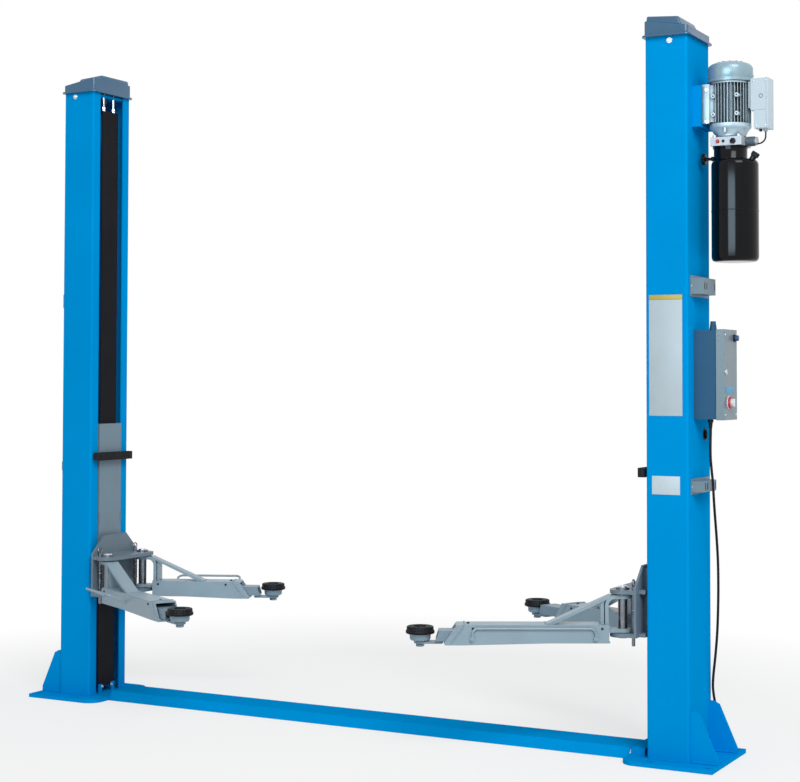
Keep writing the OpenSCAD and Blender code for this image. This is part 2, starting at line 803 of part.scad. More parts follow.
module extension_shape(bar_len, reach) {
    difference() {
        union() {
            upright(bar_w) polygon([[reach - bar_len, bar_z0], [reach - pad_r - 4, bar_z0],
                [reach - pad_r - 16, bar_z0 + bar_h], [reach - bar_len, bar_z0 + bar_h]]);
            translate([reach - pad_r - 30, -24, tube_z0 - 6]) cube([pad_r + 30, 48, 8]);
            translate([reach, 0, tube_z0 - 6]) cylinder(h = 8, r = 24);
            translate([reach - pad_r - 30, -24, tube_z0 - 6]) cube([20, 48, 20]);
            translate([reach, 0, stem_z0]) cylinder(h = stem_top - stem_z0, r = stem_r);
        }
        upright(bar_w - 12) polygon([[reach - bar_len - 1, bar_z0 + 6], [reach - 30, bar_z0 + 6],
            [reach - 30, bar_z0 + bar_h - 6], [reach - bar_len - 1, bar_z0 + bar_h - 6]]);
    }
}

// Pad: steel cup on the stem and its rubber
cup_z0 = tube_z0 + 4;
cup_z1 = tube_z0 + 22;

module pad_shape() {
    rotate_extrude() polygon([[stem_r + 0.4, cup_z0], [24, cup_z0], [pad_r - 6, cup_z1 - 4],
        [pad_r - 6, cup_z1], [stem_r + 14, cup_z1], [stem_r + 14, cup_z1 + 24],
        [stem_r + 0.4, cup_z1 + 24]]);
}

module rubber_shape() {
    rotate_extrude() polygon([[stem_r + 14, cup_z1], [pad_r, cup_z1], [pad_r, cup_z1 + 18],
        [pad_r - 4, cup_z1 + 20], [pad_r - 4, cup_z1 + pad_h], [stem_r + 14, cup_z1 + pad_h]]);
}

// Side, end, angle from straight in towards its end, tube length, pin to pad distance,
// length of the extension bar, and the foot guard's start, length and whether it is folded
long_bar = long_tube + 23;
short_bar = short_tube + 36;
guard_start = tube_start + 52;
guard_long = long_tube - 170;
guard_short = short_tube - 170;
pad_near = 141;
pad_mid = 155;
pad_far = 224;
right_front = [1, -1, 28, long_tube, long_tube + pad_near, long_bar,
    [guard_start, guard_long, true]];
right_back = [1, 1, 27, short_tube, short_tube + pad_far, short_bar,
    [guard_start, guard_short, true]];
left_front = [-1, -1, 30, long_tube, long_tube + pad_mid, long_bar,
    [guard_start - 25, 250, false]];
left_back = [-1, 1, 24, short_tube, short_tube + pad_mid, short_bar,
    [guard_start + 35, guard_short, false]];

module at_arm(a) {
    mirror([a[0] > 0 ? 1 : 0, 0, 0]) mirror([0, a[1] < 0 ? 1 : 0, 0])
        translate([-span / 2 + pin_out, pin_half, 0]) rotate([0, 0, a[2]]) children();
}

module arm(a) { color(arm_grey) at_arm(a) arm_shape(a[3], a[6]); }
module extension(a) { color(web_grey) at_arm(a) extension_shape(a[5], a[4]); }
module pad(a) { color(arm_grey) at_arm(a) translate([a[4], 0, 0]) pad_shape(); }
module rubber(a) { color(black) at_arm(a) translate([a[4], 0, 0]) rubber_shape(); }

column(-1);  // left_column
column(1);  // right_column
base(-1);  // left_base
base(1);  // right_base
cap(-1);  // left_cap
cap(1);  // right_cap
lock_covers(-1);  // left_lock_covers
lock_covers(1);  // right_lock_covers
belt(-1);  // left_belt
belt(1);  // right_belt
head(-1);  // left_head
head(1);  // right_head
floor_cover();
unit_bracket();
motor();
fan_cowl();
terminal_box();
pump_block();
oil_tank();
filler_cap();
valve_knob();
control_box();
control_door();
main_switch();
start_button();
cable_glands();
down_cable();
motor_lead();
carriage(-1);  // left_carriage
carriage(1);  // right_carriage
bracket(-1);  // left_bracket
bracket(1);  // right_bracket
door_guard(-1);  // left_door_guard
door_guard(1);  // right_door_guard
pins(-1);  // left_pins
pins(1);  // right_pins
lock_rods(-1);  // left_lock_rods
lock_rods(1);  // right_lock_rods
arm(right_front);  // right_front_arm
arm(right_back);  // right_back_arm
arm(left_front);  // left_front_arm
arm(left_back);  // left_back_arm
extension(right_front);  // right_front_extension
extension(right_back);  // right_back_extension
extension(left_front);  // left_front_extension
extension(left_back);  // left_back_extension
pad(right_front);  // right_front_pad
pad(right_back);  // right_back_pad
pad(left_front);  // left_front_pad
pad(left_back);  // left_back_pad
rubber(right_front);  // right_front_rubber
rubber(right_back);  // right_back_rubber
rubber(left_front);  // left_front_rubber
rubber(left_back);  // left_back_rubber
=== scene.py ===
# Two post car lift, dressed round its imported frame. Metres, +X from the left column to the
# right one, +Y to the back, +Z up, with the floor at z = 0.
import math
import bmesh
import bpy
from mathutils import Color, Matrix, Vector


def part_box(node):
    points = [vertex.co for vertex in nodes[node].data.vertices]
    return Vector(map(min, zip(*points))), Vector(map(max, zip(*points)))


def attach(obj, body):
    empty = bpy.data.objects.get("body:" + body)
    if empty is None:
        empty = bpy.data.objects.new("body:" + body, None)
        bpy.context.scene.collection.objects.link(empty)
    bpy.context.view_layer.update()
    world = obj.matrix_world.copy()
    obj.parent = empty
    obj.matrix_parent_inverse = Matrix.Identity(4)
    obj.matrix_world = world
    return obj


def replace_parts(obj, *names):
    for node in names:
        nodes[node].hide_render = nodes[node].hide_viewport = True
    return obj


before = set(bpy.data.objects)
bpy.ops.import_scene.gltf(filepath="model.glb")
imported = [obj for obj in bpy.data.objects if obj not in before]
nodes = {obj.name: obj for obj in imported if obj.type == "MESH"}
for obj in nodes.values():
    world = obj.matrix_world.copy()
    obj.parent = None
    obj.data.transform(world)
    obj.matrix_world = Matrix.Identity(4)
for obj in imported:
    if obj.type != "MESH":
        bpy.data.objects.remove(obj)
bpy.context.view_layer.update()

scene = bpy.context.scene
scene.view_settings.view_transform = "Standard"


# The camera stands to the right of the bay, a person's height above the floor, and looks
# along the row of the two columns with a long lens.
eye = Vector((3.6393, -6.3431, 1.4758))
yaw, pitch, roll = math.radians(27.72), math.radians(1.949), math.radians(0.1)
photo_w, photo_h = 800, 782
focal_px, centre_px = 1694.9, (423.3, 320.1)

ahead = Vector((-math.sin(yaw) * math.cos(pitch), math.cos(yaw) * math.cos(pitch), math.sin(pitch)))
across = ahead.cross(Vector((0, 0, 1))).normalized()
above = across.cross(ahead)
turned = math.cos(roll) * across + math.sin(roll) * above
above = math.cos(roll) * above - math.sin(roll) * across
camera = bpy.data.objects.new("camera", bpy.data.cameras.new("camera"))
scene.collection.objects.link(camera)
camera.matrix_world = Matrix.Translation(eye) @ Matrix((turned, above, -ahead)).transposed().to_4x4()
camera.data.sensor_width = 36.0
camera.data.lens = focal_px * camera.data.sensor_width / photo_w
camera.data.shift_x = (photo_w / 2 - centre_px[0]) / photo_w
camera.data.shift_y = (centre_px[1] - photo_h / 2) / photo_w
scene.camera = camera


# The cable of the control box: a round black sheath that hangs down the column's outer face,
# passes over the rear gusset and goes down to its gland on the base plate.
def tint(red, green, blue):
    """A colour as it looks on a screen, from 0 to 255, turned into linear light."""
    return (*Color((red / 255, green / 255, blue / 255)).from_srgb_to_scene_linear(), 1.0)


def link(tree, out_node, out_name, in_node, in_name):
    """Joins one node's output to another node's input."""
    tree.links.new(out_node.outputs[out_name], in_node.inputs[in_name])


def finish_of(name, colour, rough, mottle=0.05, cloud=7.0, grain=420.0, relief=0.04, metal=0.0,
              edge=0.0012, shine=0.4):
    """A finish with clouds of tone and gloss, a fine grain in its surface and softened edges."""
    material = bpy.data.materials.new(name)
    material.use_nodes = True
    tree = material.node_tree
    shader = tree.nodes["Principled BSDF"]
    shader.inputs["Metallic"].default_value = metal
    shader.inputs["Specular IOR Level"].default_value = shine
    place = tree.nodes.new("ShaderNodeTexCoord")
    clouds = tree.nodes.new("ShaderNodeTexNoise")
    clouds.inputs["Scale"].default_value = cloud
    clouds.inputs["Detail"].default_value = 5.0
    link(tree, place, "Object", clouds, "Vector")
    tones = tree.nodes.new("ShaderNodeValToRGB")
    tones.color_ramp.elements[0].position = 0.32
    tones.color_ramp.elements[0].color = (*[c * (1 - mottle) for c in colour[:3]], 1.0)
    tones.color_ramp.elements[1].position = 0.68
    tones.color_ramp.elements[1].color = (*[min(1.0, c * (1 + mottle)) for c in colour[:3]], 1.0)
    link(tree, clouds, "Fac", tones, "Fac")
    link(tree, tones, "Color", shader, "Base Color")
    gloss = tree.nodes.new("ShaderNodeMapRange")
    gloss.inputs["From Min"].default_value = 0.3
    gloss.inputs["From Max"].default_value = 0.7
    gloss.inputs["To Min"].default_value = rough * 0.82
    gloss.inputs["To Max"].default_value = min(1.0, rough * 1.18)
    link(tree, clouds, "Fac", gloss, "Value")
    link(tree, gloss, "Result", shader, "Roughness")
    fine = tree.nodes.new("ShaderNodeTexNoise")
    fine.inputs["Scale"].default_value = grain
    fine.inputs["Detail"].default_value = 2.0
    link(tree, place, "Object", fine, "Vector")
    bump = tree.nodes.new("ShaderNodeBump")
    bump.inputs["Strength"].default_value = relief
    bump.inputs["Distance"].default_value = 0.001
    link(tree, fine, "Fac", bump, "Height")
    soft = tree.nodes.new("ShaderNodeBevel")
    soft.samples = 3
    soft.inputs["Radius"].default_value = edge
    link(tree, soft, "Normal", bump, "Normal")
    link(tree, bump, "Normal", shader, "Normal")
    return material


def smooth_run(points, steps):
    """The points with others between them, on a smooth curve through them all."""
    run = []
    for i in range(len(points) - 1):
        before = points[max(i - 1, 0)]
        start, end = points[i], points[i + 1]
        after = points[min(i + 2, len(points) - 1)]
        for k in range(steps):
            t = k / steps
            run.append(0.5 * (2 * start + (end - before) * t
                              + (2 * before - 5 * start + 4 * end - after) * t * t
                              + (3 * start - before - 3 * end + after) * t ** 3))
    run.append(points[-1].copy())
    return run


def rod(bm, points, radius, sides=12, closed=False):
    """A round bar or wire along the points, whose radius may change along it."""
    count = len(points)
    last = points[0] - points[-1] if closed else points[-1] - points[-2]
    ways = []
    for i, point in enumerate(points):
        if closed:
            way = points[(i + 1) % count] - points[i - 1]
        elif i == count - 1:
            way = last
        else:
            way = points[i + 1] - points[max(i - 1, 0)]
        ways.append(way.normalized())
    side = ways[0].orthogonal().normalized()
    rings = []
    for i, point in enumerate(points):
        side = (side - side.dot(ways[i]) * ways[i]).normalized()
        up = ways[i].cross(side)
        r = radius[i] if isinstance(radius, list) else radius
        ring = []
        for k in range(sides):
            turn = 2 * math.pi * k / sides
            ring.append(bm.verts.new(point + r * (math.cos(turn) * side + math.sin(turn) * up)))
        rings.append(ring)
    spans = range(count) if closed else range(count - 1)
    for i in spans:
        a, b = rings[i], rings[(i + 1) % count]
        for k in range(sides):
            bm.faces.new((a[k], a[(k + 1) % sides], b[(k + 1) % sides], b[k]))
    if not closed:
        bm.faces.new(rings[0][::-1])
        bm.faces.new(rings[-1])


def add_piece(name, bm, material, body, sharp=32):
    """Makes the mesh a piece that moves with a body and takes a slot's finish."""
    bmesh.ops.recalc_face_normals(bm, faces=bm.faces)
    mesh = bpy.data.meshes.new(name)
    bm.to_mesh(mesh)
    bm.free()
    mesh.shade_smooth()
    mesh.set_sharp_from_angle(angle=math.radians(sharp))
    mesh.materials.append(material)
    piece = bpy.data.objects.new(name, mesh)
    scene.collection.objects.link(piece)
    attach(piece, body)
    return piece


sheath = finish_of("cable_sheath", tint(20, 21, 25), 0.5, 0.1, 30, 900, 0.1, shine=0.15)
down_route = [Vector(p) for p in (
    (1.572, -0.020, 1.2817), (1.572, -0.020, 1.2637), (1.571, -0.0195, 1.2367),
    (1.570, -0.018, 1.2017), (1.570, -0.015, 1.1617), (1.573, -0.012, 1.1167),
    (1.577, -0.009, 1.0667), (1.5775, -0.006, 1.035), (1.577, 0.004, 0.985),
    (1.576, 0.019, 0.930), (1.575, 0.040, 0.850), (1.573, 0.060, 0.764), (1.568, 0.079, 0.675),
    (1.563, 0.091, 0.585), (1.556, 0.100, 0.480), (1.547, 0.104, 0.390), (1.538, 0.106, 0.315),
    (1.534, 0.111, 0.272), (1.533, 0.119, 0.247), (1.533, 0.127, 0.226), (1.534, 0.135, 0.204),
    (1.534, 0.139, 0.178), (1.534, 0.1414, 0.148), (1.534, 0.142, 0.110), (1.534, 0.142, 0.070),
    (1.534, 0.142, 0.0283))]
cable_d = 0.010
down_line = smooth_run(down_route, 3)
bm = bmesh.new()
rod(bm, down_line, cable_d / 2, 14)
down_sheath = add_piece("control_cable", bm, sheath, "frame")
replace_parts(down_sheath, "down_cable")


# The motor's lead: a thin black cable that leaves the terminal box downwards through its gland
# and turns into the end of the valve's coil.
lead_d = 0.006
lead_bend = 0.028
lead_x, lead_low = 1.7893, 2.3780
lead_exit_z, lead_straight = 2.4227, 0.0082
lead_turn = 12
lead_line = [Vector((lead_x, 0, z)) for z in (lead_exit_z, lead_exit_z - lead_straight)]
for k in range(lead_turn + 1):
    turn = math.radians(90 * k / lead_turn)
    lead_line.append(Vector((lead_x - lead_bend * (1 - math.cos(turn)), 0,
                             lead_low + lead_bend * (1 - math.sin(turn)))))
lead_line.append(Vector((lead_x - lead_bend - 0.004, 0, lead_low)))
bm = bmesh.new()
rod(bm, lead_line, lead_d / 2, 12)
lead_sheath = add_piece("motor_lead_sheath", bm, sheath, "frame")
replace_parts(lead_sheath, "motor_lead")


# The workshop floor: pale smooth concrete, which keeps a soft shadow near the lift and fades
# into the white backdrop further out.
def straight_view(tree):
    """One on the rays that the camera sees, also in a mirror or through glass."""
    ray = tree.nodes.new("ShaderNodeLightPath")
    direct = tree.nodes.new("ShaderNodeMath")
    direct.operation = "MAXIMUM"
    link(tree, ray, "Is Camera Ray", direct, 0)
    link(tree, ray, "Is Glossy Ray", direct, 1)
    seen = tree.nodes.new("ShaderNodeMath")
    seen.operation = "MAXIMUM"
    link(tree, direct, 0, seen, 0)
    link(tree, ray, "Is Transmission Ray", seen, 1)
    return seen


floor_r = 14.0
floor_finish = bpy.data.materials.new("pale_floor")
floor_finish.use_nodes = True
tree = floor_finish.node_tree
tree.nodes.clear()
place = tree.nodes.new("ShaderNodeTexCoord")
reach = tree.nodes.new("ShaderNodeVectorMath")
reach.operation = "LENGTH"
link(tree, place, "Object", reach, "Vector")
fade = tree.nodes.new("ShaderNodeMapRange")
fade.inputs["From Min"].default_value = 1.9
fade.inputs["From Max"].default_value = 3.4
fade.inputs["To Min"].default_value = 0.64
link(tree, reach, "Value", fade, "Value")
share = tree.nodes.new("ShaderNodeMath")
share.operation = "MULTIPLY"
link(tree, straight_view(tree), 0, share, 0)
link(tree, fade, "Result", share, 1)
matt = tree.nodes.new("ShaderNodeBsdfDiffuse")
matt.inputs["Color"].default_value = (0.86, 0.86, 0.86, 1.0)
glow = tree.nodes.new("ShaderNodeEmission")
both = tree.nodes.new("ShaderNodeMixShader")
link(tree, share, 0, both, 0)
tree.links.new(matt.outputs[0], both.inputs[1])
tree.links.new(glow.outputs[0], both.inputs[2])
out = tree.nodes.new("ShaderNodeOutputMaterial")
tree.links.new(both.outputs[0], out.inputs["Surface"])
bm = bmesh.new()
bmesh.ops.create_circle(bm, cap_ends=True, radius=floor_r, segments=96)
floor_mesh = bpy.data.meshes.new("workshop_floor")
bm.to_mesh(floor_mesh)
bm.free()
floor_mesh.materials.append(floor_finish)
workshop_floor = bpy.data.objects.new("workshop_floor", floor_mesh)
scene.collection.objects.link(workshop_floor)


# Soft studio light: an even sky, a wide lamp high up on the camera's side, and a second one in
# front that only shows in gloss and gives the black tank its upright streak.
world = bpy.data.worlds.new("studio")
scene.world = world
world.use_nodes = True
tree = world.node_tree
tree.nodes.clear()
sky = tree.nodes.new("ShaderNodeBackground")
sky.inputs["Color"].default_value = (0.97, 0.985, 1.0, 1.0)
sky.inputs["Strength"].default_value = 0.50
backdrop = tree.nodes.new("ShaderNodeBackground")
backdrop.inputs["Color"].default_value = (1.0, 1.0, 1.0, 1.0)
both = tree.nodes.new("ShaderNodeMixShader")
link(tree, straight_view(tree), 0, both, 0)
tree.links.new(sky.outputs[0], both.inputs[1])
tree.links.new(backdrop.outputs[0], both.inputs[2])
out = tree.nodes.new("ShaderNodeOutputWorld")
tree.links.new(both.outputs[0], out.inputs["Surface"])


def soft_lamp(name, place, target, wide, tall, power, colour=(1.0, 1.0, 1.0)):
    """A rectangular soft lamp that faces its target."""
    lamp = bpy.data.lights.new(name, "AREA")
    lamp.shape = "RECTANGLE"
    lamp.size = wide
    lamp.size_y = tall
    lamp.energy = power
    lamp.color = colour
    holder = bpy.data.objects.new(name, lamp)
    holder.location = place
    holder.rotation_euler = (Vector(target) - holder.location).to_track_quat("-Z", "Y").to_euler()
    scene.collection.objects.link(holder)
    return holder


wide_lamp = soft_lamp("wide_lamp", (8.0, -8.0, 9.5), (0.4, 0, 1.2), 6.5, 6.5, 1150.0)
streak_lamp = soft_lamp("streak_lamp", (1.70, -7.0, 2.6), (1.65, 0, 2.2), 4.2, 2.6, 380.0,
                      (0.62, 0.84, 1.0))
streak_lamp.visible_diffuse = False


# Columns: channels bent from steel sheet, welded to their base plates and painted blue. A bolt
# through each flange near the top holds the column head.
span, column_d, column_w = 2.7, 0.170, 0.270
column_top = 2.8


def on_column(side, x, y, z):
    """A place by a column: x from its open face to its outer side, y to the back."""
    return Vector((side * (span / 2 + x), y, z))


def dress(material, *names):
    """Gives the CAD nodes of these names a finish."""
    for name in names:
        nodes[name].data.materials.clear()
        nodes[name].data.materials.append(material)


def lathe(bm, foot, way, profile, sides=32):
    """A turned shape: rings of (radius, height) along a way from its foot."""
    way = Vector(way).normalized()
    side = way.orthogonal().normalized()
    up = way.cross(side)
    rings = []
    for radius, height in profile:
        centre = foot + height * way
        if radius < 1e-6:
            rings.append([bm.verts.new(centre)])
            continue
        ring = []
        for k in range(sides):
            turn = 2 * math.pi * k / sides
            ring.append(bm.verts.new(centre + radius * (math.cos(turn) * side + math.sin(turn) * up)))
        rings.append(ring)
    for a, b in zip(rings, rings[1:]):
        for k in range(sides):
            j = (k + 1) % sides
            corners = [a[k % len(a)], a[j % len(a)], b[j % len(b)], b[k % len(b)]]
            bm.faces.new(list(dict.fromkeys(corners)))
    for ring, flip in ((rings[0], True), (rings[-1], False)):
        if len(ring) > 2:
            bm.faces.new(ring[::-1] if flip else ring)


def hex_bolt(bm, foot, way, r, washer=True):
    """A hexagon head of radius r over its washer."""
    base = 0.0
    if washer:
        lathe(bm, foot, way, [(1.45 * r, 0), (1.45 * r, 0.2 * r), (1.35 * r, 0.28 * r)], 24)
        base = 0.26 * r
    lathe(bm, foot, way, [(r, base), (r, base + 0.62 * r), (0.86 * r, base + 0.74 * r)], 6)


def button_screw(bm, foot, way, r):
    """A low domed screw head with a socket."""
    lathe(bm, foot, way, [(r, 0), (r, 0.25 * r), (0.8 * r, 0.55 * r), (0.45 * r, 0.66 * r),
                          (0.42 * r, 0.3 * r)], 20)


def bead(bm, points, r=0.0035, pitch=0.006):
    """A weld bead with the ripples of its runs along a broken line."""
    line = []
    for start, end in zip(points, points[1:]):
        steps = max(2, int((end - start).length / (pitch / 2)))
        line += [start.lerp(end, k / steps) for k in range(steps)]
    line.append(points[-1])
    rod(bm, line, [r * (1.0 if k % 2 else 0.8) for k in range(len(line))], 6)


column_paint = finish_of("column_paint", tint(0, 147, 218), 0.36, 0.03, 3.5, 260, 0.05, shine=0.0)
zinc = finish_of("zinc_plate", tint(196, 200, 204), 0.34, 0.08, 40, 700, 0.08, metal=0.9, edge=0.0004)
dress(column_paint, "left_column", "right_column")
for side, name in ((-1, "left"), (1, "right")):
    bm = bmesh.new()
    for end in (-1, 1):
        foot = on_column(side, 0.1 + 0.004 * (1 - side), end * column_w / 2, column_top - 0.018)
        hex_bolt(bm, foot, (0, end, 0), 0.008)
    add_piece(name + "_head_bolts", bm, zinc, "frame")
    bm = bmesh.new()
    for end in (-1, 1):
        y = end * (column_w / 2 + 0.001)
        bead(bm, [on_column(side, 0.012, y, 0.018), on_column(side, column_d - 0.012, y, 0.018)])
    bead(bm, [on_column(side, column_d + 0.001, y, 0.018) for y in (-0.110, 0.110)])
    add_piece(name + "_foot_weld", bm, column_paint, "frame")


# Plates on the right column: a tall blank panel and a small blank plate, of printed film on
# thin sheet, glued to its front. They carry nothing.
def slab(bm, low, high, round_off=0.0):
    """A block between two corners, with its edges rounded off."""
    grown = bmesh.ops.create_cube(bm, size=1.0)["verts"]
    middle, reach = (low + high) / 2, high - low
    for v in grown:
        v.co = middle + Vector([v.co[i] * abs(reach[i]) for i in range(3)])
    if round_off > 0:
        edges = list({e for v in grown for e in v.link_edges})
        bmesh.ops.bevel(bm, geom=edges, offset=round_off, segments=2, affect="EDGES", profile=0.6)


film_grey = finish_of("film_grey", tint(176, 192, 200), 0.42, 0.03, 12, 500, 0.03)
film_pale = finish_of("film_pale", tint(192, 208, 216), 0.42, 0.03, 12, 500, 0.03)
film_yellow = finish_of("film_yellow", tint(186, 168, 70), 0.4, 0.04, 12, 500, 0.03)
plate_face = -column_w / 2
for name, x0, x1, z0, z1, film in (
        ("panel_sheet", 1.364, 1.498, 1.331, 1.7785, film_grey),
        ("panel_header", 1.364, 1.498, 1.779, 1.797, film_yellow),
        ("small_plate", 1.374, 1.487, 1.029, 1.100, film_pale)):
    bm = bmesh.new()
    slab(bm, Vector((x0, plate_face - 0.0012, z0)), Vector((x1, plate_face, z1)), 0.0004)
    add_piece(name, bm, film, "frame")


# Bases: thick flame cut floor plates with two gussets each, welded to the column and painted
# with it. Two bolts clamp the lower end of the dust belt to each.
base_t = 0.016
gusset_y, gusset_t = 0.121, 0.010
gusset_run = [(0.172, 0.200), (0.172, 0.019), (0.277, 0.019)]
dress(column_paint, "left_base", "right_base")
for side, name in ((-1, "left"), (1, "right")):
    bm = bmesh.new()
    for end in (-1, 1):
        for face in (-1, 1):
            y = end * gusset_y + face * (gusset_t / 2 + 0.001)
            bead(bm, [on_column(side, x, y, z) for x, z in gusset_run])
    add_piece(name + "_gusset_weld", bm, column_paint, "frame")
    bm = bmesh.new()
    for y in (-0.033, 0.033):
        hex_bolt(bm, on_column(side, 0.0039, y, base_t + 0.027), (-side, 0, 0), 0.005)
    add_piece(name + "_belt_clamps", bm, zinc, "frame")


# Caps: pressed covers in grey blue paint, with a rim and a roof that falls to the outer side. A
# low second tier stands towards one corner, so the two caps are one part turned half round.
cap_paint = finish_of("cap_paint", tint(46, 92, 124), 0.3, 0.04, 9, 300, 0.06, shine=0.6)
corner_steps = 6


def rounded_ring(x0, x1, y0, y1, r):
    """The corners of a rectangle rounded off by r, as a closed run of (x, y)."""
    run = []
    for cx, cy, first in ((x1 - r, y1 - r, 0), (x0 + r, y1 - r, 90), (x0 + r, y0 + r, 180),
                          (x1 - r, y0 + r, 270)):
        for k in range(corner_steps + 1):
            turn = math.radians(first + 90 * k / corner_steps)
            run.append((cx + r * math.cos(turn), cy + r * math.sin(turn)))
    return run


for side, name in ((-1, "left"), (1, "right")):
    rings = []
    for x0, x1, y0, y1, r, bay_z, outer_z in (
            (-0.0140, 0.1840, -0.1490, 0.1490, 0.023, 0.000, 0.000),
            (-0.0140, 0.1840, -0.1490, 0.1490, 0.023, 0.006, 0.006),
            (-0.0125, 0.1825, -0.1475, 0.1475, 0.022, 0.008, 0.008),
            (-0.0060, 0.1760, -0.1410, 0.1410, 0.015, 0.0085, 0.0085),
            (-0.0040, 0.1740, -0.1390, 0.1390, 0.013, 0.011, 0.011),
            (-0.0040, 0.1740, -0.1390, 0.1390, 0.013, 0.062, 0.034),
            (-0.0030, 0.1730, -0.1380, 0.1380, 0.012, 0.065, 0.037),
            (0.0000, 0.1700, -0.1350, 0.1350, 0.010, 0.066, 0.038),
            (0.0010, 0.1450, -0.1300, 0.0900, 0.010, 0.0655, 0.045),
            (0.0025, 0.1340, -0.1285, 0.0740, 0.010, 0.082, 0.072),
            (0.0050, 0.1315, -0.1260, 0.0715, 0.008, 0.0848, 0.0755),
            (0.0100, 0.1265, -0.1210, 0.0665, 0.006, 0.0850, 0.0760)):
        ring = []
        for x, y in rounded_ring(x0, x1, y0, y1, r):
            rise = bay_z + (outer_z - bay_z) * (x - x0) / (x1 - x0)
            ring.append(on_column(side, x, side * y, column_top + rise))
        rings.append(ring)
    bm = bmesh.new()
    loops = [[bm.verts.new(point) for point in ring] for ring in rings]
    for a, b in zip(loops, loops[1:]):
        for k in range(len(a)):
            j = (k + 1) % len(a)
            bm.faces.new((a[k], a[j], b[j], b[k]))
    bm.faces.new(loops[0][::-1])
    bm.faces.new(loops[-1])
    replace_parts(add_piece(name + "_cap_shell", bm, cap_paint, "frame", sharp=40), name + "_cap")


# Lock covers: folded sheet in grey paint over the safety locks, screwed to the column's outer
# face, with three short upright slots each, drawn as thin black plates of painted shade.
lock_sheet = finish_of("lock_sheet", tint(108, 130, 143), 0.42, 0.06, 14, 480, 0.08, shine=0.3)
# Black for black screws, plugs and fittings, and painted shade in the holes and slots that are not cut.
black_and_hole_shade = finish_of("black_and_hole_shade", tint(16, 17, 19), 0.7, 0.1, 30, 500, 0.04)
dress(lock_sheet, "left_lock_covers", "right_lock_covers")
lock_out = 0.046
for side, name in ((-1, "left"), (1, "right")):
    bm = bmesh.new()
    slots = bmesh.new()
    for z0, height in ((1.791, 0.081), (1.030, 0.060)):
        for y in (-0.099, 0.106):
            button_screw(bm, on_column(side, column_d + 0.003, y, z0 + height / 2), (side, 0, 0), 0.005)
        # Each slot is a thin black plate on the sheet: painted shade in place of an opening.
        for y in (-0.071, -0.046, 0.054):
            low = on_column(side, column_d + lock_out, y, z0 + height / 2 - 0.013)
            high = on_column(side, column_d + lock_out + 0.0006, y + 0.007, z0 + height / 2 + 0.013)
            slab(slots, low, high, 0.0002)
    add_piece(name + "_lock_screws", bm, zinc, "frame")
    add_piece(name + "_lock_slots", slots, black_and_hole_shade, "frame")


# Dust belts: black reinforced rubber strips with a faint woven rib, stretched from the column
# head to the base to cover the column's mouth.
def add_ribs(material, scale, depth, direction):
    """Fine ribs pressed into a finish."""
    tree = material.node_tree
    bump = next(n for n in tree.nodes if n.type == "BUMP")
    fine = bump.inputs["Height"].links[0].from_node
    ribs = tree.nodes.new("ShaderNodeTexWave")
    ribs.bands_direction = direction
    ribs.inputs["Scale"].default_value = scale
    ribs.inputs["Distortion"].default_value = 0.3
    place = next(n for n in tree.nodes if n.type == "TEX_COORD")
    link(tree, place, "Object", ribs, "Vector")
    joined = tree.nodes.new("ShaderNodeMath")
    joined.operation = "MULTIPLY_ADD"
    joined.inputs[1].default_value = depth
    link(tree, ribs, "Fac", joined, 0)
    link(tree, fine, "Fac", joined, 2)
    link(tree, joined, 0, bump, "Height")


belt_rubber = finish_of("belt_rubber", tint(22, 23, 28), 0.6, 0.12, 5, 350, 0.12, shine=0.08)
add_ribs(belt_rubber, 60, 1.5, "Y")
dress(belt_rubber, "left_belt", "right_belt")


# Column heads: a painted cross plate under the cap carries two bright threaded rods, which end
# in nuts over a black strip that clamps the belt. The black end of the ram stands behind them.
bright_steel = finish_of("bright_steel", tint(206, 208, 212), 0.24, 0.06, 50, 900, 0.06, metal=1.0,
                         edge=0.0005)
ram_black = finish_of("ram_black", tint(24, 25, 28), 0.4, 0.1, 20, 500, 0.08)
belt_top, rod_half = 2.723, 0.036
for side, name in ((-1, "left"), (1, "right")):
    bm = bmesh.new()
    for y in (-rod_half, rod_half):
        foot = on_column(side, 0.022, y, belt_top - 0.010)
        lathe(bm, foot, (0, 0, 1), [(0.0052, 0), (0.0058, 0.001), (0.0058, 0.096), (0.005, 0.097)], 20)
        for rise in (0.004, 0.017):
            lathe(bm, foot + Vector((0, 0, rise)), (0, 0, 1),
                  [(0.006, 0), (0.0105, 0), (0.0105, 0.009), (0.0092, 0.011), (0.006, 0.011)], 6)
    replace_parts(add_piece(name + "_cable_rods", bm, bright_steel, "frame"), name + "_head")
    bm = bmesh.new()
    near = on_column(side, 0.007, -0.110, column_top - 0.013)
    slab(bm, near, on_column(side, 0.163, 0.110, column_top - 0.003), 0.001)
    add_piece(name + "_cross_plate", bm, column_paint, "frame")
    bm = bmesh.new()
    slab(bm, on_column(side, 0.0122, -0.058, belt_top - 0.026), on_column(side, 0.0165, 0.058, belt_top),
         0.001)
    lathe(bm, on_column(side, 0.060, 0.004, belt_top - 0.003), (0, 0, 1),
          [(0.019, 0), (0.019, 0.040), (0.024, 0.042), (0.024, 0.058), (0.022, 0.0605)], 32)
    add_piece(name + "_ram_end", bm, ram_black, "frame")


# Floor cover: one folded sheet of blue painted steel that lies over the hose and cables and
# seats on both base plates.
dress(column_paint, "floor_cover")


# Unit bracket: a folded blue channel, welded to the column, that carries the motor by its two
# foot rails.
unit_x = 0.300
motor_r = 0.080
dress(column_paint, "unit_bracket")


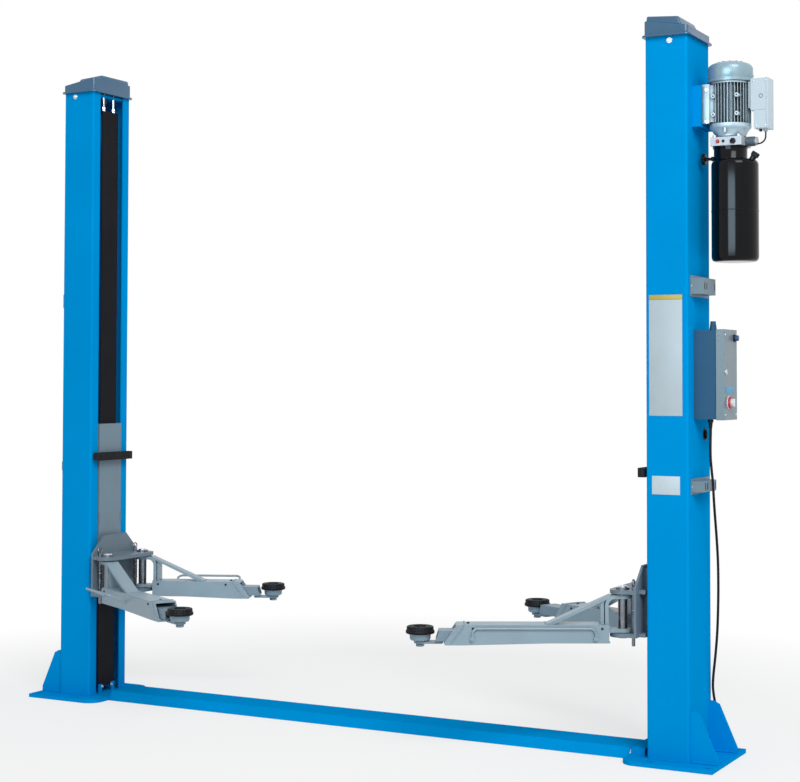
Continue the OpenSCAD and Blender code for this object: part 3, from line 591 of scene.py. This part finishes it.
# Motor: a cast aluminium body with upright cooling fins between two turned end shields, two
# foot rails with their bolts, and four bosses on its front and its back.
def painted_crevice_shade(material, reach, power):
    """Darkens a finish with painted shade where the walls round it stand close, as between cast fins."""
    tree = material.node_tree
    shader = tree.nodes["Principled BSDF"]
    colour = shader.inputs["Base Color"].links[0].from_node
    open_share = tree.nodes.new("ShaderNodeAmbientOcclusion")
    open_share.samples = 6
    open_share.inputs["Distance"].default_value = reach
    shade = tree.nodes.new("ShaderNodeMath")
    shade.operation = "POWER"
    shade.inputs[1].default_value = power
    link(tree, open_share, "AO", shade, 0)
    mixed = tree.nodes.new("ShaderNodeVectorMath")
    mixed.operation = "SCALE"
    link(tree, colour, "Color", mixed, 0)
    link(tree, shade, 0, mixed, "Scale")
    link(tree, mixed, 0, shader, "Base Color")


cast_alloy = finish_of("cast_alloy", tint(184, 208, 220), 0.42, 0.08, 45, 520, 0.3, metal=0.2,
                       edge=0.0006)
# Painted shade: the alloy's colour darkens between the fins, where shade falls.
painted_crevice_shade(cast_alloy, 0.016, 1.7)
body_z, body_h = 2.454, 0.166
core_r, fins, fin_t = 0.064, 38, 0.0034
shield_foot = 2.4053
bm = bmesh.new()
lathe(bm, on_column(1, unit_x, 0, 0), (0, 0, 1),
      [(0.058, shield_foot), (0.060, shield_foot + 0.003), (0.060, shield_foot + 0.010),
       (0.064, shield_foot + 0.018), (0.073, shield_foot + 0.032), (0.0785, shield_foot + 0.036),
       (0.080, shield_foot + 0.039), (0.080, body_z + 0.003), (core_r, body_z + 0.0035),
       (core_r, body_z + body_h - 0.009), (0.080, body_z + body_h - 0.0085),
       (0.080, body_z + body_h)], 72)
for k in range(fins):
    turn = 2 * math.pi * (k + 0.5) / fins
    way = Vector((math.cos(turn), math.sin(turn), 0))
    along = Vector((-way.y, way.x, 0))
    foot = on_column(1, unit_x, 0, body_z + 0.003)
    tall = Vector((0, 0, body_h - 0.0115))
    corners = []
    for r, half in ((core_r - 0.002, fin_t / 2), (0.0785, fin_t * 0.36), (0.0793, fin_t * 0.2)):
        for face in (-1, 1):
            corners.append(foot + r * way + face * half * along)
    low = [bm.verts.new(corners[i]) for i in (0, 2, 4, 5, 3, 1)]
    high = [bm.verts.new(corners[i] + tall) for i in (0, 2, 4, 5, 3, 1)]
    bm.faces.new(low)
    bm.faces.new(high[::-1])
    for i in range(6):
        j = (i + 1) % 6
        bm.faces.new((low[j], low[i], high[i], high[j]))
foot_x0, foot_x1 = unit_x - motor_r - 0.014, unit_x - 0.034
for face in (-1, 1):
    slab(bm, on_column(1, foot_x0, face * 0.063, body_z + 0.006),
         on_column(1, foot_x0 + 0.030, face * 0.045, body_z + body_h - 0.008), 0.0015)
    slab(bm, on_column(1, foot_x0 + 0.024, face * 0.060, body_z + 0.010),
         on_column(1, foot_x1, face * 0.048, body_z + body_h - 0.012), 0.0015)
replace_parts(add_piece("motor_body", bm, cast_alloy, "frame"), "motor")
boss_alloy = finish_of("boss_alloy", tint(190, 204, 212), 0.4, 0.06, 45, 520, 0.12, metal=0.2,
                       edge=0.0004)
bm = bmesh.new()
holes = bmesh.new()
for face in (-1, 1):
    for x in (unit_x - 0.047, unit_x + 0.046):
        for z in (body_z + 0.037, body_z + 0.108):
            foot = on_column(1, x, face * 0.052, z)
            lathe(bm, foot, (0, face, 0), [(0.0085, 0), (0.0085, 0.019), (0.0075, 0.0205)], 20)
            # The holes in the bosses are thin black discs: painted shade.
            lathe(holes, foot + Vector((0, face * 0.0205, 0)), (0, face, 0),
                  [(0.0032, 0), (0.0032, 0.0003)], 16)
slab(bm, on_column(1, unit_x - 0.004, -0.075, shield_foot + 0.014),
     on_column(1, unit_x + 0.004, -0.058, shield_foot + 0.036), 0.0015)
add_piece("motor_bosses", bm, boss_alloy, "frame")
bm = bmesh.new()
for face in (-1, 1):
    for z in (body_z + 0.013, body_z + 0.137):
        hex_bolt(bm, on_column(1, foot_x0 + 0.019, face * 0.063, z), (0, face, 0), 0.006)
add_piece("foot_bolts", bm, bright_steel, "frame")


# Fan cowl: a deep drawn sheet cap over the fan, with a rolled band and air slots in its crown,
# held by four screws round its skirt. The air slots are black bars of painted shade on the crown.
cowl_alloy = finish_of("cowl_alloy", tint(142, 168, 180), 0.34, 0.07, 30, 480, 0.12, metal=0.2,
                       edge=0.0006)
cowl_z = body_z + body_h + 0.0003
cowl_profile = [(0.0805, 0), (0.087, 0.0), (0.0872, 0.008), (0.0858, 0.010), (0.0858, 0.013),
                (0.087, 0.015), (0.087, 0.050), (0.0862, 0.056), (0.083, 0.063), (0.076, 0.069),
                (0.064, 0.074), (0.050, 0.078), (0.030, 0.081), (0.0, 0.082)]
bm = bmesh.new()
lathe(bm, on_column(1, unit_x, 0, cowl_z), (0, 0, 1), cowl_profile, 72)
for turn in range(20, 380, 90):
    way = Vector((math.cos(math.radians(turn)), math.sin(math.radians(turn)), 0))
    button_screw(bm, on_column(1, unit_x, 0, cowl_z + 0.026) + 0.0868 * way, way, 0.0045)
cowl = add_piece("cowl_shell", bm, cowl_alloy, "frame")
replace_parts(cowl, "fan_cowl")
bm = bmesh.new()
# Air slots: black bars laid on the crown, painted shade in place of openings.
for ring_r, count in ((0.026, 8), (0.046, 12)):
    for k in range(count):
        turn = 2 * math.pi * (k + 0.5) / count
        way = Vector((math.cos(turn), math.sin(turn), 0))
        rise = 0.0815 if ring_r < 0.03 else 0.0788
        start = on_column(1, unit_x, 0, cowl_z + rise) + (ring_r - 0.007) * way
        rod(bm, [start, start + 0.014 * way - Vector((0, 0, 0.0008))], 0.0016, 8)
add_piece("cowl_slots", bm, black_and_hole_shade, "frame")
add_piece("boss_holes", holes, black_and_hole_shade, "frame")


# Terminal box: pale moulded plastic in two depths, with a screwed lid, a round knock-out in
# its front and a blank gland below.
box_plastic = finish_of("box_plastic", tint(188, 206, 216), 0.45, 0.03, 10, 380, 0.14, edge=0.002)
dress(box_plastic, "terminal_box")
low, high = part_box("terminal_box")
term_z, fold_z = 2.433, 2.503
bm = bmesh.new()
for y in (low.y - 0.0001, high.y + 0.0001):
    face = math.copysign(1, y)
    for x, z in ((high.x - 0.009, high.z - 0.010), (high.x - 0.056, high.z - 0.010),
                 (high.x - 0.009, term_z + 0.010), (high.x - 0.045, term_z + 0.010)):
        button_screw(bm, Vector((x, y, z)), (0, face, 0), 0.0035)
add_piece("terminal_screws", bm, zinc, "frame")
bm = bmesh.new()
slab(bm, Vector((high.x - 0.006, low.y - 0.0012, term_z - 0.001)),
     Vector((high.x + 0.0012, high.y + 0.0012, high.z + 0.0012)), 0.0012)
slab(bm, Vector((high.x - 0.0545, low.y - 0.0008, fold_z - 0.001)),
     Vector((high.x - 0.001, high.y + 0.0008, fold_z + 0.001)), 0.0006)
add_piece("terminal_lid", bm, box_plastic, "frame")
bm = bmesh.new()
lathe(bm, Vector((high.x - 0.038, 0, term_z)), (0, 0, -1),
      [(0.0065, 0), (0.0065, 0.006), (0.005, 0.009)], 6)
add_piece("blank_gland", bm, black_and_hole_shade, "frame")
bm = bmesh.new()
# The knock-out's groove is a thin black ring on the face: painted shade.
knock_x, knock_z, knock_r, knock_steps = 1.782, 2.556, 0.007, 24
knock_out = []
for k in range(knock_steps):
    turn = 2 * math.pi * k / knock_steps
    knock_out.append(Vector((knock_x + knock_r * math.cos(turn), low.y - 0.0003,
                             knock_z + knock_r * math.sin(turn))))
rod(bm, knock_out, 0.0009, 6, closed=True)
add_piece("knock_out", bm, black_and_hole_shade, "frame")


# Pump block: a machined alloy block under the motor, with a red plug, a hole and a port in its
# front, four cap screws in its top and the ribbed coil of its valve on the outer side.
block_alloy = finish_of("block_alloy", tint(176, 182, 188), 0.42, 0.07, 60, 800, 0.12, metal=0.2,
                        edge=0.0008)
dress(block_alloy, "pump_block")
block_front, block_mid = -0.062, 2.388
plug_x, hole_x, port_x = 1.618, 1.640, 1.678
plug_red = finish_of("plug_red", tint(180, 40, 46), 0.38, 0.04, 40, 600, 0.05)
bm = bmesh.new()
lathe(bm, Vector((plug_x, block_front, block_mid)), (0, -1, 0),
      [(0.0075, 0), (0.0075, 0.002), (0.0060, 0.003), (0.0060, 0.006), (0.0045, 0.007)], 24)
add_piece("red_plug", bm, plug_red, "frame")
bm = bmesh.new()
# The hole is a thin black disc on the block's front: painted shade.
lathe(bm, Vector((hole_x, block_front, block_mid)), (0, -1, 0), [(0.006, 0), (0.006, 0.0012)], 16)
lathe(bm, Vector((port_x, block_front, block_mid - 0.002)), (0, -1, 0),
      [(0.0125, 0), (0.0125, 0.002), (0.0105, 0.003), (0.0105, 0.009), (0.007, 0.010),
       (0.0065, 0.003)], 6)
add_piece("pressure_port", bm, black_and_hole_shade, "frame")
coil_blue = finish_of("coil_blue", tint(92, 112, 128), 0.5, 0.08, 40, 600, 0.12)
coil_start = span / 2 + unit_x + 0.062
ribs = [(0.0168, 0)]
for k in range(6):
    x = 0.003 + 0.0055 * k
    ribs += [(0.0168, x), (0.019, x + 0.0006), (0.019, x + 0.003), (0.0168, x + 0.0036)]
ribs += [(0.0168, 0.038), (0.0162, 0.0385)]
bm = bmesh.new()
lathe(bm, Vector((coil_start, 0, block_mid)), (1, 0, 0), ribs, 32)
lathe(bm, Vector((coil_start + 0.0385, 0, block_mid)), (1, 0, 0),
      [(0.0163, 0), (0.0163, 0.004), (0.0155, 0.0058)], 6)
add_piece("valve_coil", bm, coil_blue, "frame")
bm = bmesh.new()
block_top = 2.4045
for x in (1.602, 1.697):
    for y in (-0.049, 0.049):
        lathe(bm, Vector((x, y, block_top)), (0, 0, 1),
              [(0.0075, 0), (0.0075, 0.008), (0.0068, 0.009), (0.004, 0.009), (0.004, 0.005)], 20)
add_piece("block_screws", bm, zinc, "frame")


# Oil tank: two deep drawn steel shells in gloss black paint, joined by a rolled seam, with a
# neck that bolts to the pump block, a filler spout and a boss.
tank_gloss = finish_of("tank_gloss", tint(6, 7, 11), 0.11, 0.1, 5, 200, 0.02, shine=0.18)
dress(tank_gloss, "oil_tank")
tank_x, tank_r = 1.667, 0.090
tank_foot, tank_top = 1.925, 2.319
bm = bmesh.new()
lathe(bm, Vector((tank_x, 0, tank_foot)), (0, 0, 1),
      [(0.070, -0.0004), (0.0755, 0.0), (0.0825, 0.0025), (0.0868, 0.007), (0.0895, 0.0125),
       (0.0906, 0.0185), (0.0906, 0.1935), (0.0918, 0.1945), (0.0918, 0.1975), (0.0906, 0.1985),
       (0.0906, 0.3735), (0.0896, 0.3800), (0.0868, 0.3865), (0.0825, 0.3905), (0.0760, 0.3935),
       (0.0700, 0.3946)], 96)
add_piece("tank_shell", bm, tank_gloss, "frame", sharp=50)
bm = bmesh.new()
lathe(bm, on_column(1, unit_x, 0, tank_top), (0, 0, 1),
      [(0.0648, 0.0006), (0.0648, 0.006), (0.0642, 0.007), (0.0642, 0.044), (0.068, 0.045),
       (0.068, 0.051), (0.0648, 0.0515)], 72)
add_piece("tank_neck", bm, tank_gloss, "frame", sharp=50)


# Filler cap and valve knob: moulded black plastic with grips round their rims. The cap screws
# onto the tilted spout, and the knob onto the spindle of the lowering valve.
black_moulding = finish_of("black_moulding", tint(17, 18, 21), 0.42, 0.1, 30, 500, 0.12, shine=0.2)


def gripped(bm, foot, way, r, height, grips, depth=0.0012):
    """A turned knob whose rim is fluted for the fingers."""
    way = Vector(way).normalized()
    side = way.orthogonal().normalized()
    up = way.cross(side)
    steps = grips * 6
    rings = []
    for share, rise in ((0.88, 0), (1.0, 0.1), (1.0, 0.85), (0.9, 1.0), (0.55, 1.0), (0.5, 0.92)):
        ring = []
        for k in range(steps):
            turn = 2 * math.pi * k / steps
            flute = depth * max(0.0, math.cos(grips * turn)) if share > 0.85 else 0.0
            spread = share * r - flute
            ring.append(bm.verts.new(foot + rise * height * way
                                     + spread * (math.cos(turn) * side + math.sin(turn) * up)))
        rings.append(ring)
    for a, b in zip(rings, rings[1:]):
        for k in range(steps):
            bm.faces.new((a[k], a[(k + 1) % steps], b[(k + 1) % steps], b[k]))
    bm.faces.new(rings[0][::-1])
    bm.faces.new(rings[-1])


tilt = math.radians(35)
spout_way = Vector((math.sin(tilt), 0, math.cos(tilt)))
spout_foot = Vector((tank_x + tank_r - 0.030, -0.022, tank_top - 0.024))
bm = bmesh.new()
gripped(bm, spout_foot + 0.0383 * spout_way, spout_way, 0.016, 0.018, 14)
lathe(bm, spout_foot + 0.0563 * spout_way, spout_way, [(0.006, -0.001), (0.006, 0.0), (0.0, 0.0)], 20)
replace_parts(add_piece("breather_cap", bm, black_moulding, "frame"), "filler_cap")
knob_foot = on_column(1, unit_x - 0.076 - 0.0003, 0, tank_top + 0.010)
bm = bmesh.new()
lathe(bm, knob_foot, (-1, 0, 0), [(0.006, 0), (0.006, 0.019), (0.009, 0.0205), (0.009, 0.0245)], 24)
gripped(bm, knob_foot + Vector((-0.024, 0, 0)), (-1, 0, 0), 0.022, 0.014, 12, 0.0018)
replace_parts(add_piece("lowering_knob", bm, black_moulding, "frame"), "valve_knob")


# Control box: a folded sheet box in grey blue paint, screwed to the column, with a seal behind
# its hinged door, whose paler paint is painted light for its lit face. The door holds the red main
# switch on a white plate, a blank strip and the blue button, and a rubber grommet lines the hole
# for the hoses below the box.
box_paint = finish_of("box_paint", tint(46, 92, 124), 0.4, 0.04, 12, 320, 0.08, shine=0.1)
# The door has the box's paint made paler: painted light for its face towards the lamps.
lit_door_paint = finish_of("lit_door_paint", tint(100, 122, 132), 0.32, 0.04, 12, 320, 0.08, shine=0.6)
dress(box_paint, "control_box")
dress(lit_door_paint, "control_door")
door_low, door_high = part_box("control_door")
bm = bmesh.new()
for z in (door_low.z + 0.045, door_high.z - 0.045):
    rod(bm, [Vector((door_low.x + 0.006, door_high.y + 0.003, z + d)) for d in (-0.018, 0.018)],
        0.0045, 12)
add_piece("door_hinges", bm, zinc, "frame")
bm = bmesh.new()
for z in (door_low.z + 0.020, door_high.z - 0.020):
    for y in (door_low.y + 0.016, door_high.y - 0.016):
        button_screw(bm, Vector((door_high.x, y, z)), (1, 0, 0), 0.005)
lathe(bm, Vector((door_high.x, door_low.y + 0.022, 1.500)), (1, 0, 0),
      [(0.011, 0), (0.011, 0.003), (0.009, 0.005), (0.0035, 0.005), (0.003, 0.002)], 24)
add_piece("door_screws", bm, zinc, "frame")
bm = bmesh.new()
slab(bm, Vector((door_low.x - 0.0022, door_low.y + 0.0018, door_low.z + 0.0018)),
     Vector((door_low.x + 0.0002, door_high.y - 0.0018, door_high.z - 0.0018)), 0.0006)
add_piece("door_seal", bm, black_moulding, "frame")
switch_white = finish_of("switch_white", tint(214, 220, 226), 0.36, 0.03, 20, 400, 0.05)
switch_red = finish_of("switch_red_plastic", tint(178, 38, 48), 0.34, 0.04, 30, 500, 0.05)
switch_at = Vector((door_high.x, -0.010, 1.382))
bm = bmesh.new()
lathe(bm, switch_at, (1, 0, 0), [(0.0265, 0), (0.0265, 0.002), (0.0255, 0.003)], 48)
add_piece("switch_plate", bm, switch_white, "frame")
bm = bmesh.new()
lathe(bm, switch_at + Vector((0.003, 0, 0)), (1, 0, 0),
      [(0.0235, 0), (0.0235, 0.005), (0.0225, 0.0068), (0.016, 0.0072)], 48)
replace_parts(add_piece("switch_disc", bm, switch_red, "frame"), "main_switch")
bm = bmesh.new()
lathe(bm, switch_at + Vector((0.0102, 0, 0)), (1, 0, 0),
      [(0.0145, 0), (0.0145, 0.0095), (0.0135, 0.011)], 40)
slab(bm, switch_at + Vector((0.014, -0.0050, -0.0150)), switch_at + Vector((0.024, 0.0050, 0.0150)),
     0.002)
add_piece("switch_knob", bm, switch_white, "frame")
plate_blue = finish_of("plate_blue", tint(76, 150, 190), 0.42, 0.04, 20, 500, 0.03)
bm = bmesh.new()
slab(bm, Vector((door_high.x, -0.052, 1.416)), Vector((door_high.x + 0.0008, 0.052, 1.444)), 0.0003)
add_piece("door_plate", bm, plate_blue, "frame")
button_blue = finish_of("button_blue_plastic", tint(10, 72, 122), 0.32, 0.04, 30, 500, 0.05)
button_at = Vector((door_high.x, 0.060, 1.632))
bm = bmesh.new()
lathe(bm, button_at, (1, 0, 0), [(0.0115, 0.004), (0.0115, 0.015), (0.0105, 0.0172), (0.008, 0.018),
                                (0.0, 0.0182)], 36)
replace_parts(add_piece("button_head", bm, button_blue, "frame"), "start_button")
bm = bmesh.new()
lathe(bm, button_at, (1, 0, 0), [(0.0148, 0), (0.0148, 0.0045), (0.0138, 0.006), (0.0118, 0.006)], 36)
add_piece("button_collar", bm, black_moulding, "frame")
dress(black_moulding, "cable_glands")
grommet_at = on_column(1, column_d, 0.066, 1.256)
bm = bmesh.new()
lathe(bm, grommet_at, (1, 0, 0), [(0.0195, -0.006), (0.0245, 0.0005), (0.0245, 0.002),
                                 (0.022, 0.0035), (0.0185, 0.002), (0.017, -0.006)], 36)
add_piece("hose_grommet", bm, black_moulding, "frame")


# Carriages: folded steel webs in grey paint that slide in the columns, with the arm brackets
# welded across them.
carriage_paint = finish_of("carriage_paint", tint(112, 134, 147), 0.45, 0.05, 8, 300, 0.1)
bracket_paint = finish_of("bracket_paint", tint(104, 122, 135), 0.42, 0.06, 8, 300, 0.1)
pin_out, pin_half = 0.099, 0.130
lower_z, bracket_h, bracket_t = 0.476, 0.181, 0.015
upper_z = lower_z + bracket_h - bracket_t
plate_x, plate_t = -0.041, 0.010
for side, name in ((-1, "left"), (1, "right")):
    body = name + "_lift"
    dress(carriage_paint, name + "_carriage")
    dress(bracket_paint, name + "_bracket")
    bm = bmesh.new()
    for z in (lower_z + bracket_t + 0.001, upper_z + bracket_t + 0.001):
        bead(bm, [on_column(side, plate_x - 0.0005, y, z) for y in (-0.150, 0.150)], 0.004)
    for y in (-0.0605, -0.0705, 0.0605, 0.0705):
        bead(bm, [on_column(side, plate_x + plate_t + 0.001, y, z) for z in (0.500, 0.735)], 0.003)
    for y in (-0.062, 0.062):
        bead(bm, [on_column(side, -0.0075, y * 1.25, z) for z in (0.800, 0.845)], 0.003)
    add_piece(name + "_bracket_weld", bm, bracket_paint, body)


# Pins and lock rods: ground steel pins with a snap ring over each head, and beside each a
# sprung rod whose toothed foot holds the arm; a ring on top pulls it free.
pin_steel = finish_of("pin_steel", tint(122, 125, 131), 0.26, 0.08, 50, 900, 0.06, metal=1.0,
                      edge=0.0005)
rod_x = -pin_out + 0.044
spring_z, spring_h, turns, turn_steps = lower_z + bracket_t + 0.045, 0.080, 9, 14
for side, name in ((-1, "left"), (1, "right")):
    body = name + "_lift"
    dress(pin_steel, name + "_pins")
    bm = bmesh.new()
    for end in (-1, 1):
        foot = on_column(side, -pin_out, end * pin_half, lower_z + bracket_h + 0.008)
        lathe(bm, foot, (0, 0, 1), [(0.0185, 0), (0.0185, 0.0035), (0.016, 0.006), (0.005, 0.006),
                                    (0.004, 0.003)], 36)
        lathe(bm, foot, (0, 0, 1), [(0.0205, 0.0002), (0.0215, 0.001), (0.0205, 0.0022),
                                    (0.0188, 0.0022)], 36)
    add_piece(name + "_snap_rings", bm, bright_steel, body)
    bm = bmesh.new()
    for end in (-1, 1):
        foot = on_column(side, rod_x, end * pin_half, 0)
        up = Vector((0, 0, 1))
        lathe(bm, foot, up, [(0.0055, lower_z - 0.036), (0.007, lower_z - 0.033),
                             (0.007, lower_z + bracket_h + 0.012), (0.0055, lower_z + bracket_h + 0.014)],
              24)
        coil = []
        for k in range(turns * turn_steps + 1):
            turn = 2 * math.pi * k / turn_steps
            rise = spring_z + 0.002 + (spring_h - 0.004) * k / (turns * turn_steps)
            coil.append(foot + Vector((0.0100 * math.cos(turn), 0.0100 * math.sin(turn), rise)))
        rod(bm, coil, 0.0017, 6)
        for z in (spring_z, spring_z + spring_h - 0.002):
            lathe(bm, foot + z * up, up, [(0.0072, 0), (0.012, 0), (0.012, 0.002), (0.0072, 0.002)], 28)
        ring = []
        for k in range(32):
            turn = 2 * math.pi * k / 32
            ring.append(foot + Vector((0, 0.013 * math.cos(turn),
                                       lower_z + bracket_h + 0.026 + 0.013 * math.sin(turn))))
        rod(bm, ring, 0.0028, 10, closed=True)
    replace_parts(add_piece(name + "_sprung_rods", bm, pin_steel, body), name + "_lock_rods")


# Door guards: black rubber strips that wrap the carriages at door height, each held by three
# dome head screws.
guard_rubber = finish_of("guard_rubber", tint(24, 25, 28), 0.62, 0.12, 25, 420, 0.2, shine=0.15)
for side, name in ((-1, "left"), (1, "right")):
    body = name + "_lift"
    dress(guard_rubber, name + "_door_guard")
    bm = bmesh.new()
    for y in (-0.100, 0.0, 0.100):
        button_screw(bm, on_column(side, -0.040, y, 1.110), (-side, 0, 0), 0.0055)
    add_piece(name + "_guard_screws", bm, black_and_hole_shade, body)


# Arms: welded box tubes on gooseneck strips and braces, in pale grey blue paint, with a foot
# guard each, small grub screws along their sides and a bead round the sloped collar.
arm_paint = finish_of("arm_paint", tint(134, 157, 170), 0.36, 0.05, 7, 300, 0.08, shine=0.6)
arms = {"right_front": (1, -1, 28, 0.645, 0.786), "right_back": (1, 1, 27, 0.466, 0.690),
        "left_front": (-1, -1, 30, 0.645, 0.800), "left_back": (-1, 1, 24, 0.466, 0.620)}
tube_z0, tube_h, tube_w, tube_start = 0.455, 0.070, 0.100, 0.058
tube_top = tube_z0 + tube_h
collar, brace_end = 0.050, 0.300


def on_arm(arm, s, y, z):
    """A place by an arm: s along it from its pin, y to its outer side."""
    side, end, angle = arms[arm][:3]
    turn = math.radians(angle)
    x0, y0 = side * (span / 2 - pin_out), end * pin_half
    return Vector((x0 - side * s * math.cos(turn) + side * y * math.sin(turn),
                   y0 + end * s * math.sin(turn) + end * y * math.cos(turn), z))


for arm, (side, end, angle, tube, reach) in arms.items():
    body = arm + "_swing"
    dress(arm_paint, arm + "_arm")
    outward = on_arm(arm, 0, 1, 0) - on_arm(arm, 0, 0, 0)
    bm = bmesh.new()
    half = tube_w / 2 + 0.0005
    bead(bm, [on_arm(arm, tube_start - 0.001, y, tube_z0 + 0.004) for y in (-half, half)])
    for y in (-half, half):
        bead(bm, [on_arm(arm, tube - 0.030, y, tube_top - 0.001),
                  on_arm(arm, tube + collar - 0.030, y, tube_z0 + 0.001)], 0.003)
    bead(bm, [on_arm(arm, tube - 0.030, y, tube_top + 0.001) for y in (-half, half)], 0.003)
    for y in (-0.030, 0.030):
        bead(bm, [on_arm(arm, brace_end - 0.034, y, tube_top + 0.001),
                  on_arm(arm, brace_end, y, tube_top + 0.001)], 0.003)
    bead(bm, [on_arm(arm, brace_end + 0.0005, y, tube_top + 0.001) for y in (-0.030, 0.030)], 0.003)
    bead(bm, [on_arm(arm, tube_start - 0.001, y, tube_top) for y in (-0.030, 0.030)], 0.003)
    add_piece(arm + "_welds", bm, arm_paint, body)
    bm = bmesh.new()
    for face in (-1, 1):
        for s in (0.085, tube - 0.062):
            button_screw(bm, on_arm(arm, s, face * tube_w / 2, tube_top - 0.014), face * outward, 0.005)
    add_piece(arm + "_screws", bm, black_and_hole_shade, body)
    bm = bmesh.new()
    hex_bolt(bm, on_arm(arm, tube - 0.045, 0, tube_top), (0, 0, 1), 0.006, washer=False)
    add_piece(arm + "_stop_bolt", bm, black_and_hole_shade, body)


# Extensions: inner tubes that slide in the arms and carry the pad stems on thick lower
# plates. Pads: tapered steel cups with thick black rubber rings, stepped and notched.
slide_paint = finish_of("slide_paint", tint(118, 142, 157), 0.4, 0.05, 9, 300, 0.08)
cup_paint = finish_of("cup_paint", tint(124, 150, 164), 0.36, 0.06, 20, 320, 0.08)
pad_rubber = finish_of("pad_rubber", tint(14, 16, 21), 0.5, 0.12, 40, 500, 0.18, shine=0.15)
cup_z0, cup_z1 = tube_z0 + 0.004, tube_z0 + 0.0305
pad_r = 0.056
notches = 20
ring_profile = [(0.026, 0.0), (0.0500, 0.0), (0.0545, 0.0018), (0.056, 0.0045), (0.056, 0.0115),
                (0.0548, 0.0135), (0.0528, 0.0150), (0.0522, 0.0165), (0.0526, 0.0250),
                (0.0510, 0.0280), (0.0480, 0.0295), (0.0400, 0.0295), (0.0385, 0.0277),
                (0.0365, 0.0277), (0.0350, 0.0295), (0.0290, 0.0295), (0.0265, 0.0280),
                (0.026, 0.0255)]
for arm, (side, end, angle, tube, reach) in arms.items():
    dress(slide_paint, arm + "_extension")
    centre = on_arm(arm, reach, 0, 0)
    bm = bmesh.new()
    lathe(bm, centre + Vector((0, 0, cup_z0)), (0, 0, 1),
          [(0.0280, 0), (0.0340, 0.0010), (0.0385, 0.0040), (0.0405, 0.0085), (0.0410, 0.0225),
           (0.0440, 0.0240), (0.0450, 0.0262), (0.0262, 0.0262), (0.0262, 0.042), (0.0125, 0.042)],
          56)
    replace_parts(add_piece(arm + "_cup", bm, cup_paint, arm + "_top", sharp=40), arm + "_pad")
    bm = bmesh.new()
    bead(bm, [on_arm(arm, reach - pad_r - 0.0315, y, tube_z0 - 0.002) for y in (-0.022, 0.022)], 0.002)
    lathe(bm, centre + Vector((0, 0, tube_z0 - 0.0188)), (0, 0, 1),
          [(0.006, -0.0002), (0.0155, 0.0), (0.017, 0.0015), (0.017, 0.009), (0.0155, 0.0105)], 6)
    lathe(bm, centre + Vector((0, 0, tube_z0 + 0.052)), (0, 0, 1),
          [(0.0115, 0), (0.0095, 0.0018), (0.004, 0.0018), (0.003, 0.0)], 28)
    add_piece(arm + "_stem_nut", bm, slide_paint, arm + "_slide")
    bm = bmesh.new()
    steps = notches * 6
    rings = []
    for r, rise in ring_profile:
        ring = []
        for k in range(steps):
            turn = 2 * math.pi * k / steps
            cut = 0.0016 * max(0.0, math.cos(notches * turn) - 0.5) / 0.5 if r > 0.0515 else 0.0
            ring.append(bm.verts.new(centre + Vector(((r - cut) * math.cos(turn),
                                                      (r - cut) * math.sin(turn), cup_z1 + rise))))
        rings.append(ring)
    for i, a in enumerate(rings):
        b = rings[(i + 1) % len(rings)]
        for k in range(steps):
            bm.faces.new((a[k], a[(k + 1) % steps], b[(k + 1) % steps], b[k]))
    ring_piece = add_piece(arm + "_pad_ring", bm, pad_rubber, arm + "_top", sharp=50)
    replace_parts(ring_piece, arm + "_rubber")
